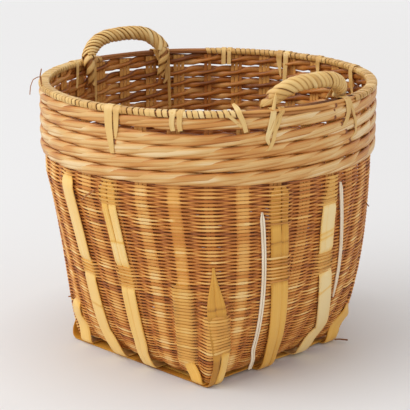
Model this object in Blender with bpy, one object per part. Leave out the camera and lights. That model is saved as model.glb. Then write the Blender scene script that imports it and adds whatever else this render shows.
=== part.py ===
"""A farm basket of bamboo splint and rattan cane: square at the base and round at the mouth.

Fourteen bamboo splints cross in a plain-woven mat under the basket, and both ends of each turn
up as stakes, with one more stake pushed in at each corner. Fine weft closes the wall between and
around the stakes, five rounds of thick cane wale make the band above it, and two cane hoops,
bound with split cane, are tied on as the rim. Eight wide slats run under the base and up the
outside as runners, and two cane handles stand on the rim. Metres, +Z up, the floor at z = 0.
"""

import math

import bmesh
import bpy
from mathutils import Matrix, Vector

# Overall form, measured at the middle of the wall
BASE_HALF = 0.130
BASE_CORNER_R = 0.012
WALL_R = 0.2235
ROUND_HEIGHT = 0.262
FLARE_POWER = 0.52
FLARE_EASE = 0.01
EDGE_HEIGHT = 0.0125
CORNER_DROP = 0.0100
CORNER_DROP_REACH = 0.4
BELLY_SHIFT = 0.0045
GAP = 0.0003

# Stakes, and the splints that they are the ends of
STAKES_PER_SIDE = 8
STAKES = 4 * STAKES_PER_SIDE
SPLINT_T = 0.0018
SPLINT_BASE_W = 0.024
SPLINT_WALL_W = 0.0165
MAT_HEIGHT = 0.0098
CORNER_STAKE_LEVEL = 2
CORNER_STAKE_SHARE = 0.9

# Fine weft
STRAND_T = 0.0019
WEFT_TOP = 0.2825
WEFT_RISES = (0.0, 0.05, 0.14, 0.30, 0.60)
WEFT_SEAM_LEVEL = 3

# Band of three-rod wale: two rods outside the stakes and one inside, in each round
WALE_ROUNDS = 5
WALE_PITCH = 0.018
BAND_BOTTOM = WEFT_TOP + 0.0015
BAND_TOP = BAND_BOTTOM + WALE_ROUNDS * WALE_PITCH
ROD_D = 0.0084
ROD_OUTER_DEPTH = 0.0082
ROD_INNER_DEPTH = 0.0070
OUTER_CREST = 0.0046
OUTER_CHAMFER = 0.0033
INNER_BACK_HALF = 0.0035
INNER_CHAMFER = 0.0021

# Rim
RIM_HOOP_D = 0.0064
HOOP_SIDES = 6
RIM_OUT_FROM_WALL = 0.0015
RIM_R = WALL_R + RIM_OUT_FROM_WALL
RIM_W = 0.0150
RIM_H = 0.0120
RIM_BEVEL = 0.0036
RIM_TOP = BAND_TOP + 0.0122
RIM_Z = RIM_TOP - RIM_H / 2
BINDING_T = 0.0009
FRONT_BINDING = (20, 33)
BACK_BINDING = (5, 16)
TIE_T = 0.0010
TIE_BEVEL = 0.0027

# Handles, as (azimuth in degrees, half span, rise of the core's middle above the rim). Each arch
# stands in a plane square to the direction from the axis to its middle.
HANDLES = ((-7.5, 0.0625, 0.0245), (170.8, 0.0690, 0.0265))
HANDLE_CORE_R = 0.0075
HANDLE_FOOT_IN = 0.0245
HANDLE_TOP_IN = 0.0075
HANDLE_FOOT_OUT = RIM_R - HANDLE_FOOT_IN
HANDLE_TOP_OUT = RIM_R - HANDLE_TOP_IN
HANDLE_LEG_DEPTH = 0.0480
CORE_SIDES = 8
WRAP_START = 0.0105
WRAP_TURNS = 18
WRAP_POINTS = 8
WRAP_T = 0.0011
WRAP_COVER = 0.84

# Half of a handle's arch, top first, as (share of the half span, in from its top, down from its top)
ARCH_KNOTS = ((0.0, 0.0, 0.0), (0.45, 0.0015, 0.0010), (0.78, 0.0050, 0.0050), (0.96, 0.0120, 0.0150))
# Its leg, as (share of the half span, in from its foot, share of the leg's depth, share of the core's radius)
LEG_KNOTS = ((1.0, 0.0005, -0.03, 0.88), (0.985, 0.0025, 0.25, 0.68), (0.95, 0.0010, 0.50, 0.52),
             (0.90, -0.0012, 1.0, 0.34))

# A lashing beside a handle's leg, as (degrees from the leg, depth below the rim's top): down the
# outside of the band, then inside it, slanting over the leg, to its tail
LASHING_W = 0.0090
LASHING_OUTSIDE = ((-3.5, 0.062), (1.6, 0.032), (3.8, 0.012))
LASHING_OVER_RIM = 4.0
LASHING_INSIDE = ((3.8, 0.012), (1.4, 0.023), (-3.4, 0.034), (-5.6, 0.044))
LASHING_LEG_SHARE = 0.95
LASHING_ROOM = 0.0058
LASHING_TAIL_IN = 0.0010

# Slats under and up the outside
SLAT_T = 0.0022
SLAT_STAND_OFF = 0.0008
SLAT_TIP_SHARE = 0.6
CROSSING_ROOM = 0.006
THIN_CANE_W = 0.0064
THIN_CANE_T = 0.0026
THIN_CANE_STAND_OFF = 0.0004


def material(name, colour, roughness):
    """A Principled material that is not metal."""
    made = bpy.data.materials.new(name)
    made.use_nodes = True
    shader = made.node_tree.nodes["Principled BSDF"]
    shader.inputs["Base Color"].default_value = (*colour, 1.0)
    shader.inputs["Roughness"].default_value = roughness
    shader.inputs["Metallic"].default_value = 0.0
    return made


def finish_object(name, bm, mat):
    """Makes an object from a closed bmesh, with its faces pointing out."""
    bmesh.ops.recalc_face_normals(bm, faces=bm.faces)
    mesh = bpy.data.meshes.new(name)
    bm.to_mesh(mesh)
    bm.free()
    mesh.shade_smooth()
    mesh.set_sharp_from_angle(angle=math.radians(40))
    mesh.materials.append(mat)
    obj = bpy.data.objects.new(name, mesh)
    bpy.context.scene.collection.objects.link(obj)
    return obj


def from_axis(a, b):
    """How far the middle of the line from a to b lies from the basket's upright axis."""
    return ((a.co + b.co) / 2).xy.length


def add_split_quad(bm, a, b, c, d):
    """Two triangles along the diagonal that is farther from the axis, so that layers stay parallel."""
    if from_axis(a, c) < from_axis(b, d):
        a, b, c, d = b, c, d, a
    bm.faces.new((a, b, c))
    bm.faces.new((a, c, d))


def loft(name, sections, mat, ring=False):
    """Skins equal loops of points in turn. A ring closes on its first loop, and a bar gets two caps."""
    bm = bmesh.new()
    loops = [[bm.verts.new(point) for point in section] for section in sections]
    count = len(loops[0])
    pairs = list(zip(loops, loops[1:]))
    if ring:
        pairs.append((loops[-1], loops[0]))
    for first, second in pairs:
        for i in range(count):
            j = (i + 1) % count
            add_split_quad(bm, first[i], first[j], second[j], second[i])
    if not ring:
        bm.faces.new(loops[0])
        bm.faces.new(loops[-1])
    return finish_object(name, bm, mat)


def path_tangents(points):
    """The direction of a path at each of its points."""
    last = len(points) - 1
    return [
        (points[min(i + 1, last)] - points[max(i - 1, 0)]).normalized() for i in range(last + 1)
    ]


def strip_section(point, half, out):
    """The four corners of a flat strip at a point of its middle line."""
    return [point + half + out, point + half - out, point - half - out, point - half + out]


def strip(name, points, sides, widths, thickness, mat):
    """A flat strip along a path. sides holds the strip's width direction at each point."""
    sections = []
    for point, along, side, width in zip(points, path_tangents(points), sides, widths):
        normal = along.cross(side).normalized()
        sections.append(strip_section(point, side * width / 2, normal * thickness / 2))
    return loft(name, sections, mat)


def smooth_curve(knots, per_span):
    """Points on a Catmull-Rom curve through the knots, which are vectors of any one length."""
    ends = [knots[0] * 2 - knots[1], *knots, knots[-1] * 2 - knots[-2]]
    found = []
    for a, b, c, d in zip(ends, ends[1:], ends[2:], ends[3:]):
        for step in range(per_span):
            t = step / per_span
            found.append(
                (b * 2 + (c - a) * t + (a * 2 - b * 5 + c * 4 - d) * t**2
                 + (b * 3 - a - c * 3 + d) * t**3) / 2
            )
    return [*found, knots[-1].copy()]


# The wall's surface. A place round the wall is counted in stakes, from the corner at +X -Y
# towards +X +Y, so that corners are at 0, 8, 16 and 24. Height is counted as a rise: 0 at the
# weave's lower edge and 1 where the wall has become round.


def azimuth(u):
    """The angle from +X of the stake numbered u."""
    return math.radians(360 * u / STAKES - 45)


def square_point(u):
    """A point on the rounded square at the base."""
    side, along = divmod(u % STAKES, STAKES_PER_SIDE)
    y = BASE_HALF * (2 * along / STAKES_PER_SIDE - 1)
    flat_end = BASE_HALF - BASE_CORNER_R
    centre = Vector((flat_end, max(-flat_end, min(flat_end, y))))
    away = Vector((BASE_HALF, y)) - centre
    return Matrix.Rotation(side * math.pi / 2, 2) @ (centre + away.normalized() * BASE_CORNER_R)


def circle_point(u):
    """A point on the round mouth."""
    return Vector((math.cos(azimuth(u)), math.sin(azimuth(u)))) * WALL_R


def edge_height(u):
    """Height of the weave's lower edge, which dips to a foot at each corner."""
    half_side = STAKES_PER_SIDE / 2
    from_corner = half_side - abs(u % STAKES_PER_SIDE - half_side)
    return EDGE_HEIGHT - CORNER_DROP * math.exp(-((from_corner / CORNER_DROP_REACH) ** 2))


def rise_at(u, z):
    """The rise of the wall at a height."""
    return (z - edge_height(u)) / (ROUND_HEIGHT - edge_height(u))


def wall_middle(u, rise):
    """A point on the middle surface of the wall."""
    z = edge_height(u) + rise * (ROUND_HEIGHT - edge_height(u))
    eased = FLARE_EASE**FLARE_POWER
    share = ((max(rise, 0.0) + FLARE_EASE) ** FLARE_POWER - eased) / (
        (1 + FLARE_EASE) ** FLARE_POWER - eased
    )
    flat = square_point(u).lerp(circle_point(u), min(1.0, share))
    lean = BELLY_SHIFT * math.sin(math.pi * min(1.0, max(0.0, rise)))
    return Vector((flat.x + lean, flat.y + lean, z))


def wall_point(u, rise, offset):
    """A point that stands off the wall's middle surface, outwards if offset is above 0."""
    step_u, step_rise = 0.1, 0.01
    low = max(0.0, rise - step_rise)
    round_wall = wall_middle(u + step_u, rise) - wall_middle(u - step_u, rise)
    up_wall = wall_middle(u, rise + step_rise) - wall_middle(u, low)
    return wall_middle(u, rise) + round_wall.cross(up_wall).normalized() * offset


def facet_frame(k, rise):
    """The wall's facet behind stake k: its middle, half its width across, and its level outward normal."""
    low, high = wall_middle(k - 0.25, rise), wall_middle(k + 0.25, rise)
    half = (high - low) / 2
    return (low + high) / 2, half, half.cross(Vector((0, 0, 1))).normalized()


def ring_point(azimuth_angle, radius, z):
    """A point at a radius from the basket's axis."""
    return Vector((radius * math.cos(azimuth_angle), radius * math.sin(azimuth_angle), z))


WALL_RISES = [*WEFT_RISES, rise_at(STAKES_PER_SIDE / 2, WEFT_TOP)]


def weft_rises(u):
    """The rises of the weave's levels at u, so that its top edge is level."""
    return [*WEFT_RISES, rise_at(u, WEFT_TOP)]


def lower_course(u):
    """The levels of the outer weft's lower course."""
    return weft_rises(u)[: WEFT_SEAM_LEVEL + 1]


def upper_course(u):
    """The levels of the outer weft's upper course, which starts a gap above the lower."""
    first, *others = weft_rises(u)[WEFT_SEAM_LEVEL:]
    return [first + GAP / (ROUND_HEIGHT - EDGE_HEIGHT), *others]


def weft_layer(name, rises_at, way, mat):
    """One layer of the fine weft, way 1 outside the stakes or -1 inside, as a closed shell. It lies
    flat over each stake, and between stakes it sinks to the middle of the wall."""
    ridge = (SPLINT_T / 2 + GAP, SPLINT_T / 2 + STRAND_T)
    valley = (GAP / 2, GAP / 2 + STRAND_T)
    sections = []
    for k in range(STAKES):
        for place, end, (near, far) in ((k, -1, ridge), (k, 1, ridge), (k + 0.5, 0, valley)):
            frames = [facet_frame(place, rise) for rise in rises_at(place)]
            faces = [
                [middle + half * end + normal * way * offset for middle, half, normal in frames]
                for offset in (near, far)
            ]
            sections.append([*faces[0], *reversed(faces[1])])
    return loft(name, sections, mat, ring=True)


def build_weft(mat):
    weft_layer("fine_weft_outer_lower", lower_course, 1, mat)
    weft_layer("fine_weft_outer_upper", upper_course, 1, mat)
    weft_layer("fine_weft_inner", weft_rises, -1, mat)


def stake_sections(k, rises, widths):
    """Sections of stake k up the wall, and on to its tip under the rim."""
    sections = []
    for rise, width in zip([*rises, rise_at(k, BAND_TOP - GAP)], [*widths, widths[-1]]):
        middle, half, normal = facet_frame(k, rise)
        sections.append(strip_section(middle, half.normalized() * width / 2, normal * SPLINT_T / 2))
    return sections


def woven_run(crossings, half_zone, heights):
    """(distance along, height) of a strip at both edges of each strip that it crosses."""
    return [(c + end * half_zone, z) for c, z in zip(crossings, heights) for end in (-1, 1)]


def build_splints(mat):
    """The base mat's splints, each with a stake at both ends."""
    pitch = 2 * BASE_HALF / STAKES_PER_SIDE
    places = [-BASE_HALF + pitch * k for k in range(1, STAKES_PER_SIDE)]
    level = (SPLINT_T + GAP) / 2
    up = Vector((0, 0, SPLINT_T / 2))
    for family, turn in (("x", 0), ("y", 1)):
        across = Vector((1, 0, 0)) if turn else Vector((0, 1, 0))
        for k, place in enumerate(places, start=1):
            near = (3 * STAKES_PER_SIDE + k) if turn else (3 * STAKES_PER_SIDE - k)
            far = (2 * STAKES_PER_SIDE - k) if turn else k
            heights = [
                MAT_HEIGHT + level * (1 if (k + i + turn) % 2 else -1) for i in range(len(places))
            ]
            base = []
            for along, z in woven_run(places, SPLINT_BASE_W / 2, heights):
                point = Vector((place, along, z)) if turn else Vector((along, place, z))
                base.append(strip_section(point, across * SPLINT_BASE_W / 2, up))
            near_wall = wall_sections(near, across)
            far_wall = wall_sections(far, across)
            near_turn = turn_section(near_wall[0], base[0])
            far_turn = turn_section(far_wall[0], base[-1])
            loft(f"splint_{family}{k}", [*reversed(near_wall), near_turn, *base, far_turn, *far_wall], mat)


def wall_sections(k, across):
    """A splint's stake as sections whose corners follow on from the base run's upper and lower face."""
    widths = [SPLINT_WALL_W] * (len(WEFT_RISES) + 1)
    found = []
    for a, b, c, d in stake_sections(k, weft_rises(k), widths):
        if (a - d).dot(across) < 0:
            a, b, c, d = d, c, b, a
        found.append([b, a, d, c])
    return found


def turn_section(wall, base):
    """The mitred section where a splint turns up: below the wall's section, level with the base's."""
    return [Vector((w.x, w.y, b.z)) for w, b in zip(wall, base)]


def build_corner_stakes(mat):
    """One stake pushed into the weft at each corner, cut narrower where the corner is tight."""
    for number in range(4):
        k = number * STAKES_PER_SIDE
        rises = weft_rises(k)[CORNER_STAKE_LEVEL:]
        facets = [2 * facet_frame(k, rise)[1].length for rise in rises]
        widths = [min(SPLINT_WALL_W, facet * CORNER_STAKE_SHARE) for facet in facets]
        loft(f"corner_stake_{number + 1}", stake_sections(k, rises, widths), mat)


# Distances from the axis across the band: a stake's middle, its two faces and the rods' far faces
STAKE_FLAT_R = WALL_R * math.cos(math.radians(90 / STAKES))
STAKE_OUT = STAKE_FLAT_R + SPLINT_T / 2 + GAP
STAKE_IN = STAKE_FLAT_R - SPLINT_T / 2 - GAP
ROD_OUT = STAKE_OUT + ROD_OUTER_DEPTH
ROD_IN = STAKE_IN - ROD_INNER_DEPTH


FACET_WIDEN = 1 / math.cos(math.pi / STAKES)


def facet_corners(k, profile):
    """The (distance from the axis, height) profile at the corner between the facets of stakes k and k + 1."""
    return [ring_point(azimuth(k + 0.5), r * FACET_WIDEN, z) for r, z in profile]


def hoop(name, profile, mat):
    """A hoop of the profile, with one flat facet at each stake."""
    return loft(name, [facet_corners(k, profile) for k in range(STAKES)], mat, ring=True)


def build_wale(mat_outer, mat_inner):
    """Each round as the double ridge of its two outer rods, and its one inner rod."""
    for number in range(1, WALE_ROUNDS + 1):
        middle = BAND_BOTTOM + (number - 0.5) * WALE_PITCH
        half = ROD_D - GAP
        outer = [
            (STAKE_OUT, middle - half),
            (ROD_OUT - OUTER_CHAMFER, middle - half),
            (ROD_OUT, middle - OUTER_CREST),
            (ROD_OUT - OUTER_CHAMFER, middle),
            (ROD_OUT, middle + OUTER_CREST),
            (ROD_OUT - OUTER_CHAMFER, middle + half),
            (STAKE_OUT, middle + half),
        ]
        hoop(f"wale_outer_{number}", outer, mat_outer)
        inner = [
            (STAKE_IN, middle - INNER_BACK_HALF),
            (STAKE_IN, middle + INNER_BACK_HALF),
            (ROD_IN + INNER_CHAMFER, middle + ROD_D / 2),
            (ROD_IN, middle),
            (ROD_IN + INNER_CHAMFER, middle - ROD_D / 2),
        ]
        hoop(f"wale_inner_{number}", inner, mat_inner)


def build_rim(mat_hoop, mat_binding):
    """Two cane hoops side by side, bound together except inside and beside each handle."""
    r = RIM_HOOP_D / 2
    for name, centre in (("rim_hoop_outer", RIM_R + r + GAP / 2), ("rim_hoop_inner", RIM_R - r - GAP / 2)):
        corners = [2 * math.pi * i / HOOP_SIDES for i in range(HOOP_SIDES)]
        hoop(name, [(centre + r * math.cos(a), RIM_Z + r * math.sin(a)) for a in corners], mat_hoop)
    for name, (first, last) in (("rim_binding_front", FRONT_BINDING), ("rim_binding_back", BACK_BINDING)):
        binding_sleeve(name, first, last, mat_binding)


def bevelled_box(half_w, half_h):
    """The rim's outline as (distance from the axis, height), at a half width and a half height."""
    quarter = [(half_w, half_h - RIM_BEVEL), (half_w - RIM_BEVEL, half_h)]
    half = [*quarter, *[(-x, z) for x, z in reversed(quarter)]]
    outline = [*half, *[(-x, -z) for x, z in half]]
    return [(RIM_R + x, RIM_Z + z) for x, z in outline]


def binding_sleeve(name, first, last, mat):
    """The wound binding as a thin sleeve round both hoops, from stake first to stake last."""
    outer = bevelled_box(RIM_W / 2, RIM_H / 2)
    inner = bevelled_box(RIM_W / 2 - BINDING_T, RIM_H / 2 - BINDING_T)
    places = range(first, last + 1)
    outside = [facet_corners(k, outer) for k in places]
    inside = [facet_corners(k, inner) for k in reversed(places)]
    loft(name, [*outside, *inside], mat, ring=True)


def strap_over_rim(name, centre, route, width, mat):
    """A flat strap over the rim. route is (degrees from centre, distance from the axis, height)."""
    angles = [centre + math.radians(turn) for turn, _, _ in route]
    points = [ring_point(angle, radius, z) for angle, (_, radius, z) in zip(angles, route)]
    sides = [ring_point(angle + math.pi / 2, 1, 0) for angle in angles]
    return strip(name, points, sides, [width] * len(points), TIE_T, mat)


# Distances from the axis of a strap's middle: outside the band and the rim, inside the band and
# inside the rim
TIE_STAND_OFF = GAP + TIE_T / 2
STRAP_OUT = max(ROD_OUT * FACET_WIDEN, (RIM_R + RIM_W / 2) * FACET_WIDEN) + TIE_STAND_OFF
STRAP_IN_BAND = ROD_IN - TIE_STAND_OFF
STRAP_IN_RIM = RIM_R - RIM_W / 2 - TIE_STAND_OFF


def tie_route(outer_reach, inner_reach):
    """Down the outside of the band, over the rim and down the inside of the band."""
    top, shoulder = RIM_TOP + TIE_STAND_OFF, RIM_TOP - RIM_BEVEL
    return [
        (0, STRAP_OUT, RIM_TOP - outer_reach),
        (0, STRAP_OUT, shoulder),
        (0, STRAP_OUT - TIE_BEVEL, top),
        (0, STRAP_IN_RIM + TIE_BEVEL, top),
        (0, STRAP_IN_RIM, shoulder),
        (0, STRAP_IN_RIM, RIM_TOP - RIM_H),
        (0, STRAP_IN_BAND, BAND_TOP - ROD_D / 2),
        (0, STRAP_IN_BAND, RIM_TOP - inner_reach),
    ]


# Azimuth in degrees, width, reach down outside and reach down inside of each rim tie
RIM_TIES = (
    (-78, 0.015, 0.058, 0.034),
    (-54.5, 0.016, 0.032, 0.024),
    (-36, 0.013, 0.034, 0.024),
    (66, 0.010, 0.030, 0.052),
    (88, 0.008, 0.024, 0.018),
    (104, 0.015, 0.030, 0.048),
    (127, 0.015, 0.028, 0.024),
)


def build_ties(mat):
    for number, (degrees, width, outside, inside) in enumerate(RIM_TIES, start=1):
        strap_over_rim(f"rim_tie_{number}", math.radians(degrees), tie_route(outside, inside), width, mat)


def handle_knots(half_span, rise):
    """(along the rim, out from the axis, height, radius) down one half of a handle's core, top first."""
    arch = [
        Vector((half_span * share, HANDLE_TOP_OUT - inwards, RIM_TOP + rise - drop, HANDLE_CORE_R))
        for share, inwards, drop in ARCH_KNOTS
    ]
    for share, inwards, depth, thick in LEG_KNOTS:
        height = RIM_TOP - HANDLE_LEG_DEPTH * depth
        arch.append(Vector((half_span * share, HANDLE_FOOT_OUT - inwards, height, HANDLE_CORE_R * thick)))
    return arch


def handle_frames(turn, half_span, rise):
    """(point, side, other side, core radius) along a handle's centre line, from foot to foot."""
    half = smooth_curve(handle_knots(half_span, rise), 2)
    whole = [*reversed(half), *[Vector((-p[0], p[1], p[2], p[3])) for p in half[1:]]]
    along = Vector((-math.sin(turn), math.cos(turn), 0))
    out = Vector((math.cos(turn), math.sin(turn), 0))
    line = [along * p[0] + out * p[1] + Vector((0, 0, p[2])) for p in whole]
    found = []
    for point, forward, knot in zip(line, path_tangents(line), whole):
        side = (out - forward * out.dot(forward)).normalized()
        found.append((point, side, forward.cross(side), knot[3]))
    return found


def handle_core(name, frames, mat):
    """A cane bent into an arch, with both legs tucked down inside the band."""
    angles = [2 * math.pi * (i + 0.5) / CORE_SIDES for i in range(CORE_SIDES)]
    sections = [
        [point + (side * math.cos(a) + other * math.sin(a)) * radius for a in angles]
        for point, side, other, radius in frames
    ]
    loft(name, sections, mat)


def handle_wrap(name, frames, mat):
    """One unbroken flat strip wound along the arch, above the rim. Prints its least gap to itself."""
    arch = [frame for frame in frames if frame[0].z > RIM_TOP + WRAP_START]
    lengths = [0.0]
    for a, b in zip(arch, arch[1:]):
        lengths.append(lengths[-1] + (b[0] - a[0]).length)
    total = lengths[-1]
    inner_r = HANDLE_CORE_R / math.cos(math.pi / WRAP_POINTS) + GAP
    outer_r = inner_r + WRAP_T

    def on_tube(distance, angle, radius):
        distance = max(0.0, min(total, distance))
        i = next(n for n in range(1, len(arch)) if lengths[n] >= distance - 1e-9)
        share = (distance - lengths[i - 1]) / (lengths[i] - lengths[i - 1])
        centre, side, other = (arch[i - 1][n].lerp(arch[i][n], share) for n in range(3))
        return centre + (side.normalized() * math.cos(angle) + other.normalized() * math.sin(angle)) * radius

    pitch = total / (WRAP_TURNS + WRAP_COVER)
    half_w = pitch * WRAP_COVER / 2
    sections = []
    for step in range(WRAP_TURNS * WRAP_POINTS + 1):
        middle = half_w + pitch * step / WRAP_POINTS
        angle = 2 * math.pi * (step + 0.5) / WRAP_POINTS
        sections.append([
            on_tube(middle - half_w, angle, inner_r),
            on_tube(middle + half_w, angle, inner_r),
            on_tube(middle + half_w, angle, outer_r),
            on_tube(middle - half_w, angle, outer_r),
        ])
    turns_apart = list(zip(sections, sections[WRAP_POINTS:]))
    gaps = [(a[1] - b[0]).length for a, b in turns_apart] + [(a[2] - b[3]).length for a, b in turns_apart]
    print(f"{name}: least gap between turns {min(gaps) * 1000:.2f} mm")
    loft(name, sections, mat)


def lashing_route(mirror, half_span):
    """A lashing beside a handle's foot: over the rim, then slanting across the leg inside."""
    over_leg = math.hypot(HANDLE_FOOT_OUT, half_span * LASHING_LEG_SHARE) - LASHING_ROOM
    inside = (STRAP_IN_RIM, over_leg, over_leg, STRAP_IN_BAND - LASHING_TAIL_IN)
    top, shoulder = RIM_TOP + TIE_STAND_OFF, RIM_TOP - RIM_BEVEL
    route = [
        *[(turn, STRAP_OUT, RIM_TOP - depth) for turn, depth in LASHING_OUTSIDE],
        (LASHING_OVER_RIM, STRAP_OUT, shoulder),
        (LASHING_OVER_RIM, STRAP_OUT - TIE_BEVEL, top),
        (LASHING_OVER_RIM, STRAP_IN_RIM + TIE_BEVEL, top),
        (LASHING_OVER_RIM, STRAP_IN_RIM, shoulder),
        *[(turn, radius, RIM_TOP - depth) for radius, (turn, depth) in zip(inside, LASHING_INSIDE)],
    ]
    return [(mirror * turn, radius, z) for turn, radius, z in route]


def build_handles(mat_core, mat_wrap):
    for number, (degrees, half_span, rise) in enumerate(HANDLES, start=1):
        turn = math.radians(degrees)
        leg_turn = math.atan2(half_span, HANDLE_FOOT_OUT)
        frames = handle_frames(turn, half_span, rise)
        handle_core(f"handle_core_{number}", frames, mat_core)
        handle_wrap(f"handle_wrap_{number}", frames, mat_wrap)
        for side, mirror in (("left", -1), ("right", 1)):
            lashing = f"handle_lashing_{number}_{side}"
            route = lashing_route(mirror, half_span)
            strap_over_rim(lashing, turn + mirror * leg_turn, route, LASHING_W, mat_wrap)


# Wide slats as (name, place across the base, width, end up the -Y or +X side, end up the opposite
# side). An end is (place across where it meets the wall, stake number at its tip, height of its tip,
# how many stakes it bends sideways halfway up).
SLATS_Y = (
    ("slat_y1", -0.105, 0.018, (-0.106, 25.5, 0.150, 0.0), (-0.100, 14.4, 0.200, 0.0)),
    ("slat_y2", -0.032, 0.018, (-0.040, 27.2, 0.268, 0.0), (-0.026, 12.6, 0.255, 0.0)),
    ("slat_y3", 0.028, 0.021, (0.026, 28.9, 0.272, 0.0), (0.030, 10.8, 0.262, 0.0)),
    ("slat_y4", 0.119, 0.020, (0.097, 30.79, 0.270, 0.0), (0.102, 8.9, 0.210, 0.0)),
)
SLATS_X = (
    ("slat_x1", -0.126, 0.021, (-0.1156, 0.03, 0.180, -0.10), (-0.102, 23.4, 0.190, 0.0)),
    ("slat_x2", -0.030, 0.026, (-0.0348, 2.13, 0.276, -0.26), (-0.034, 21.3, 0.262, 0.0)),
    ("slat_x3", 0.042, 0.026, (0.0551, 4.09, 0.276, -0.68), (0.050, 18.9, 0.268, 0.0)),
    ("slat_x4", 0.110, 0.021, (0.1155, 6.9, 0.160, 0.0), (0.102, 17.1, 0.180, 0.0)),
)
# 1 where the slat along Y (row) passes above the slat along X (column)
SLAT_Y_ABOVE = ((1, 0, 1, 1), (1, 1, 0, 1), (1, 0, 1, 0), (1, 1, 0, 1))

# How a slat leaves the wall: (out from the base square, height above its lowest run)
SLAT_BOW = ((0.0235, 0.0250), (0.0175, 0.0110), (0.0125, 0.0030), (0.0060, 0.0))
SLAT_LEAVES_WALL = 0.046


def side_place(side, across):
    """The stake number on a side of the base where a strip at that place across it comes up."""
    pitch = 2 * BASE_HALF / STAKES_PER_SIDE
    middle = (side + 0.5) * STAKES_PER_SIDE
    return middle + (across if side in (0, 3) else -across) / pitch


def climb(side, end, stand_off, lowest=SLAT_LEAVES_WALL):
    """Points and width directions down the outside of the wall, from an upper end to a lowest height."""
    across, top_u, top_z, bend = end
    low_u = side_place(side, across)
    top_rise, low_rise = rise_at(top_u, top_z), rise_at(low_u, SLAT_LEAVES_WALL)
    last_rise = rise_at(low_u, lowest)
    least_step = 0.03
    levels = [r for r in reversed(WALL_RISES) if last_rise + least_step < r < top_rise - least_step]
    rises = [top_rise, *levels, last_rise]
    rises = sorted([*rises, *[(a + b) / 2 for a, b in zip(rises, rises[1:])]], reverse=True)
    points, sides = [], []
    for rise in rises:
        share = (rise - low_rise) / (top_rise - low_rise)
        u = low_u + (top_u - low_u) * share + 4 * bend * share * (1 - share)
        points.append(wall_point(u, rise, stand_off))
        sides.append((wall_middle(u + 0.25, rise) - wall_middle(u - 0.25, rise)).normalized())
    return points, sides


def bow(side, wall_place, base_place, level, reach):
    """Points from the wall's foot round and under the base, outermost first, down to that reach."""
    turned = Matrix.Rotation(side * math.pi / 2, 3, "Z")
    sign = 1 if side in (0, 3) else -1
    kept = [(out, z) for out, z in SLAT_BOW if BASE_HALF + out > reach]
    found = []
    for number, (out, z) in enumerate(kept, start=1):
        place = wall_place + (base_place - wall_place) * number / len(kept)
        found.append(turned @ Vector((BASE_HALF + out, place * sign, level + z)))
    return found


def runner(name, near_side, across, width, thickness, ends, levels, crossings, mat):
    """A slat that climbs one side, passes under the base and climbs the opposite side."""
    stand_off = SPLINT_T / 2 + STRAND_T + SLAT_STAND_OFF + thickness / 2
    near_points, near_sides = climb(near_side, ends[0], stand_off)
    far_points, far_sides = climb((near_side + 2) % 4, ends[1], stand_off)
    along_y = near_side == 3
    base = []
    for (place, zone), z in zip(crossings, levels):
        for along in (place - zone / 2, place + zone / 2):
            base.append(Vector((across, along, z)) if along_y else Vector((along, across, z)))
    if not along_y:
        base.reverse()
    run = 1 if along_y else 0
    near_bow = bow(near_side, ends[0][0], across, base[0].z, abs(base[0][run]))
    far_bow = bow((near_side + 2) % 4, ends[1][0], across, base[-1].z, abs(base[-1][run]))
    points = [*near_points, *near_bow, *base, *reversed(far_bow), *reversed(far_points)]
    way = Vector((1, 0, 0)) if along_y else Vector((0, 1, 0))
    flat = [way] * (len(near_bow) + len(base) + len(far_bow))
    sides = [s if s.dot(way) > 0 else -s for s in [*near_sides, *flat, *reversed(far_sides)]]
    widths = [width] * len(points)
    widths[0] = widths[-1] = width * SLAT_TIP_SHARE
    strip(name, points, sides, widths, thickness, mat)


def build_slats(mat):
    low, high = SLAT_T / 2, SLAT_T * 1.5 + GAP
    for row, (name, across, width, near, far) in enumerate(SLATS_Y):
        levels = [high if above else low for above in SLAT_Y_ABOVE[row]]
        crossings = [(slat[1], slat[2] + CROSSING_ROOM) for slat in SLATS_X]
        runner(name, 3, across, width, SLAT_T, (near, far), levels, crossings, mat)
    for column, (name, across, width, near, far) in enumerate(SLATS_X):
        levels = [low if row[column] else high for row in SLAT_Y_ABOVE]
        crossings = [(slat[1], slat[2] + CROSSING_ROOM) for slat in SLATS_Y]
        runner(name, 0, across, width, SLAT_T, (near, far), levels, crossings, mat)


# Two split canes on the +X side, with their ends as for a slat
THIN_CANE_1_END = (-0.068, 1.55, 0.250, 0.0)
THIN_CANE_1_REACH = 0.0070
THIN_CANE_2_END = (0.0593, 4.38, 0.272, -0.05)
THIN_CANE_2_LOWEST = 0.096


def build_thin_canes(mat):
    """Half-round canes down the +X side. The first is tucked under the edge of the base, and the
    second ends beside a slat."""
    stand_off = SPLINT_T / 2 + STRAND_T + THIN_CANE_STAND_OFF + THIN_CANE_T / 2
    points, sides = climb(0, THIN_CANE_1_END, stand_off)
    place = THIN_CANE_1_END[0]
    foot = bow(0, place, place, THIN_CANE_T / 2, BASE_HALF + THIN_CANE_1_REACH)
    points += foot
    sides += [Vector((0, 1, 0))] * len(foot)
    strip("thin_cane_1", points, sides, [THIN_CANE_W] * len(points), THIN_CANE_T, mat)
    points, sides = climb(0, THIN_CANE_2_END, stand_off, THIN_CANE_2_LOWEST)
    strip("thin_cane_2", points, sides, [THIN_CANE_W] * len(points), THIN_CANE_T, mat)


def clear_scene():
    for obj in list(bpy.data.objects):
        bpy.data.objects.remove(obj)


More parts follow.
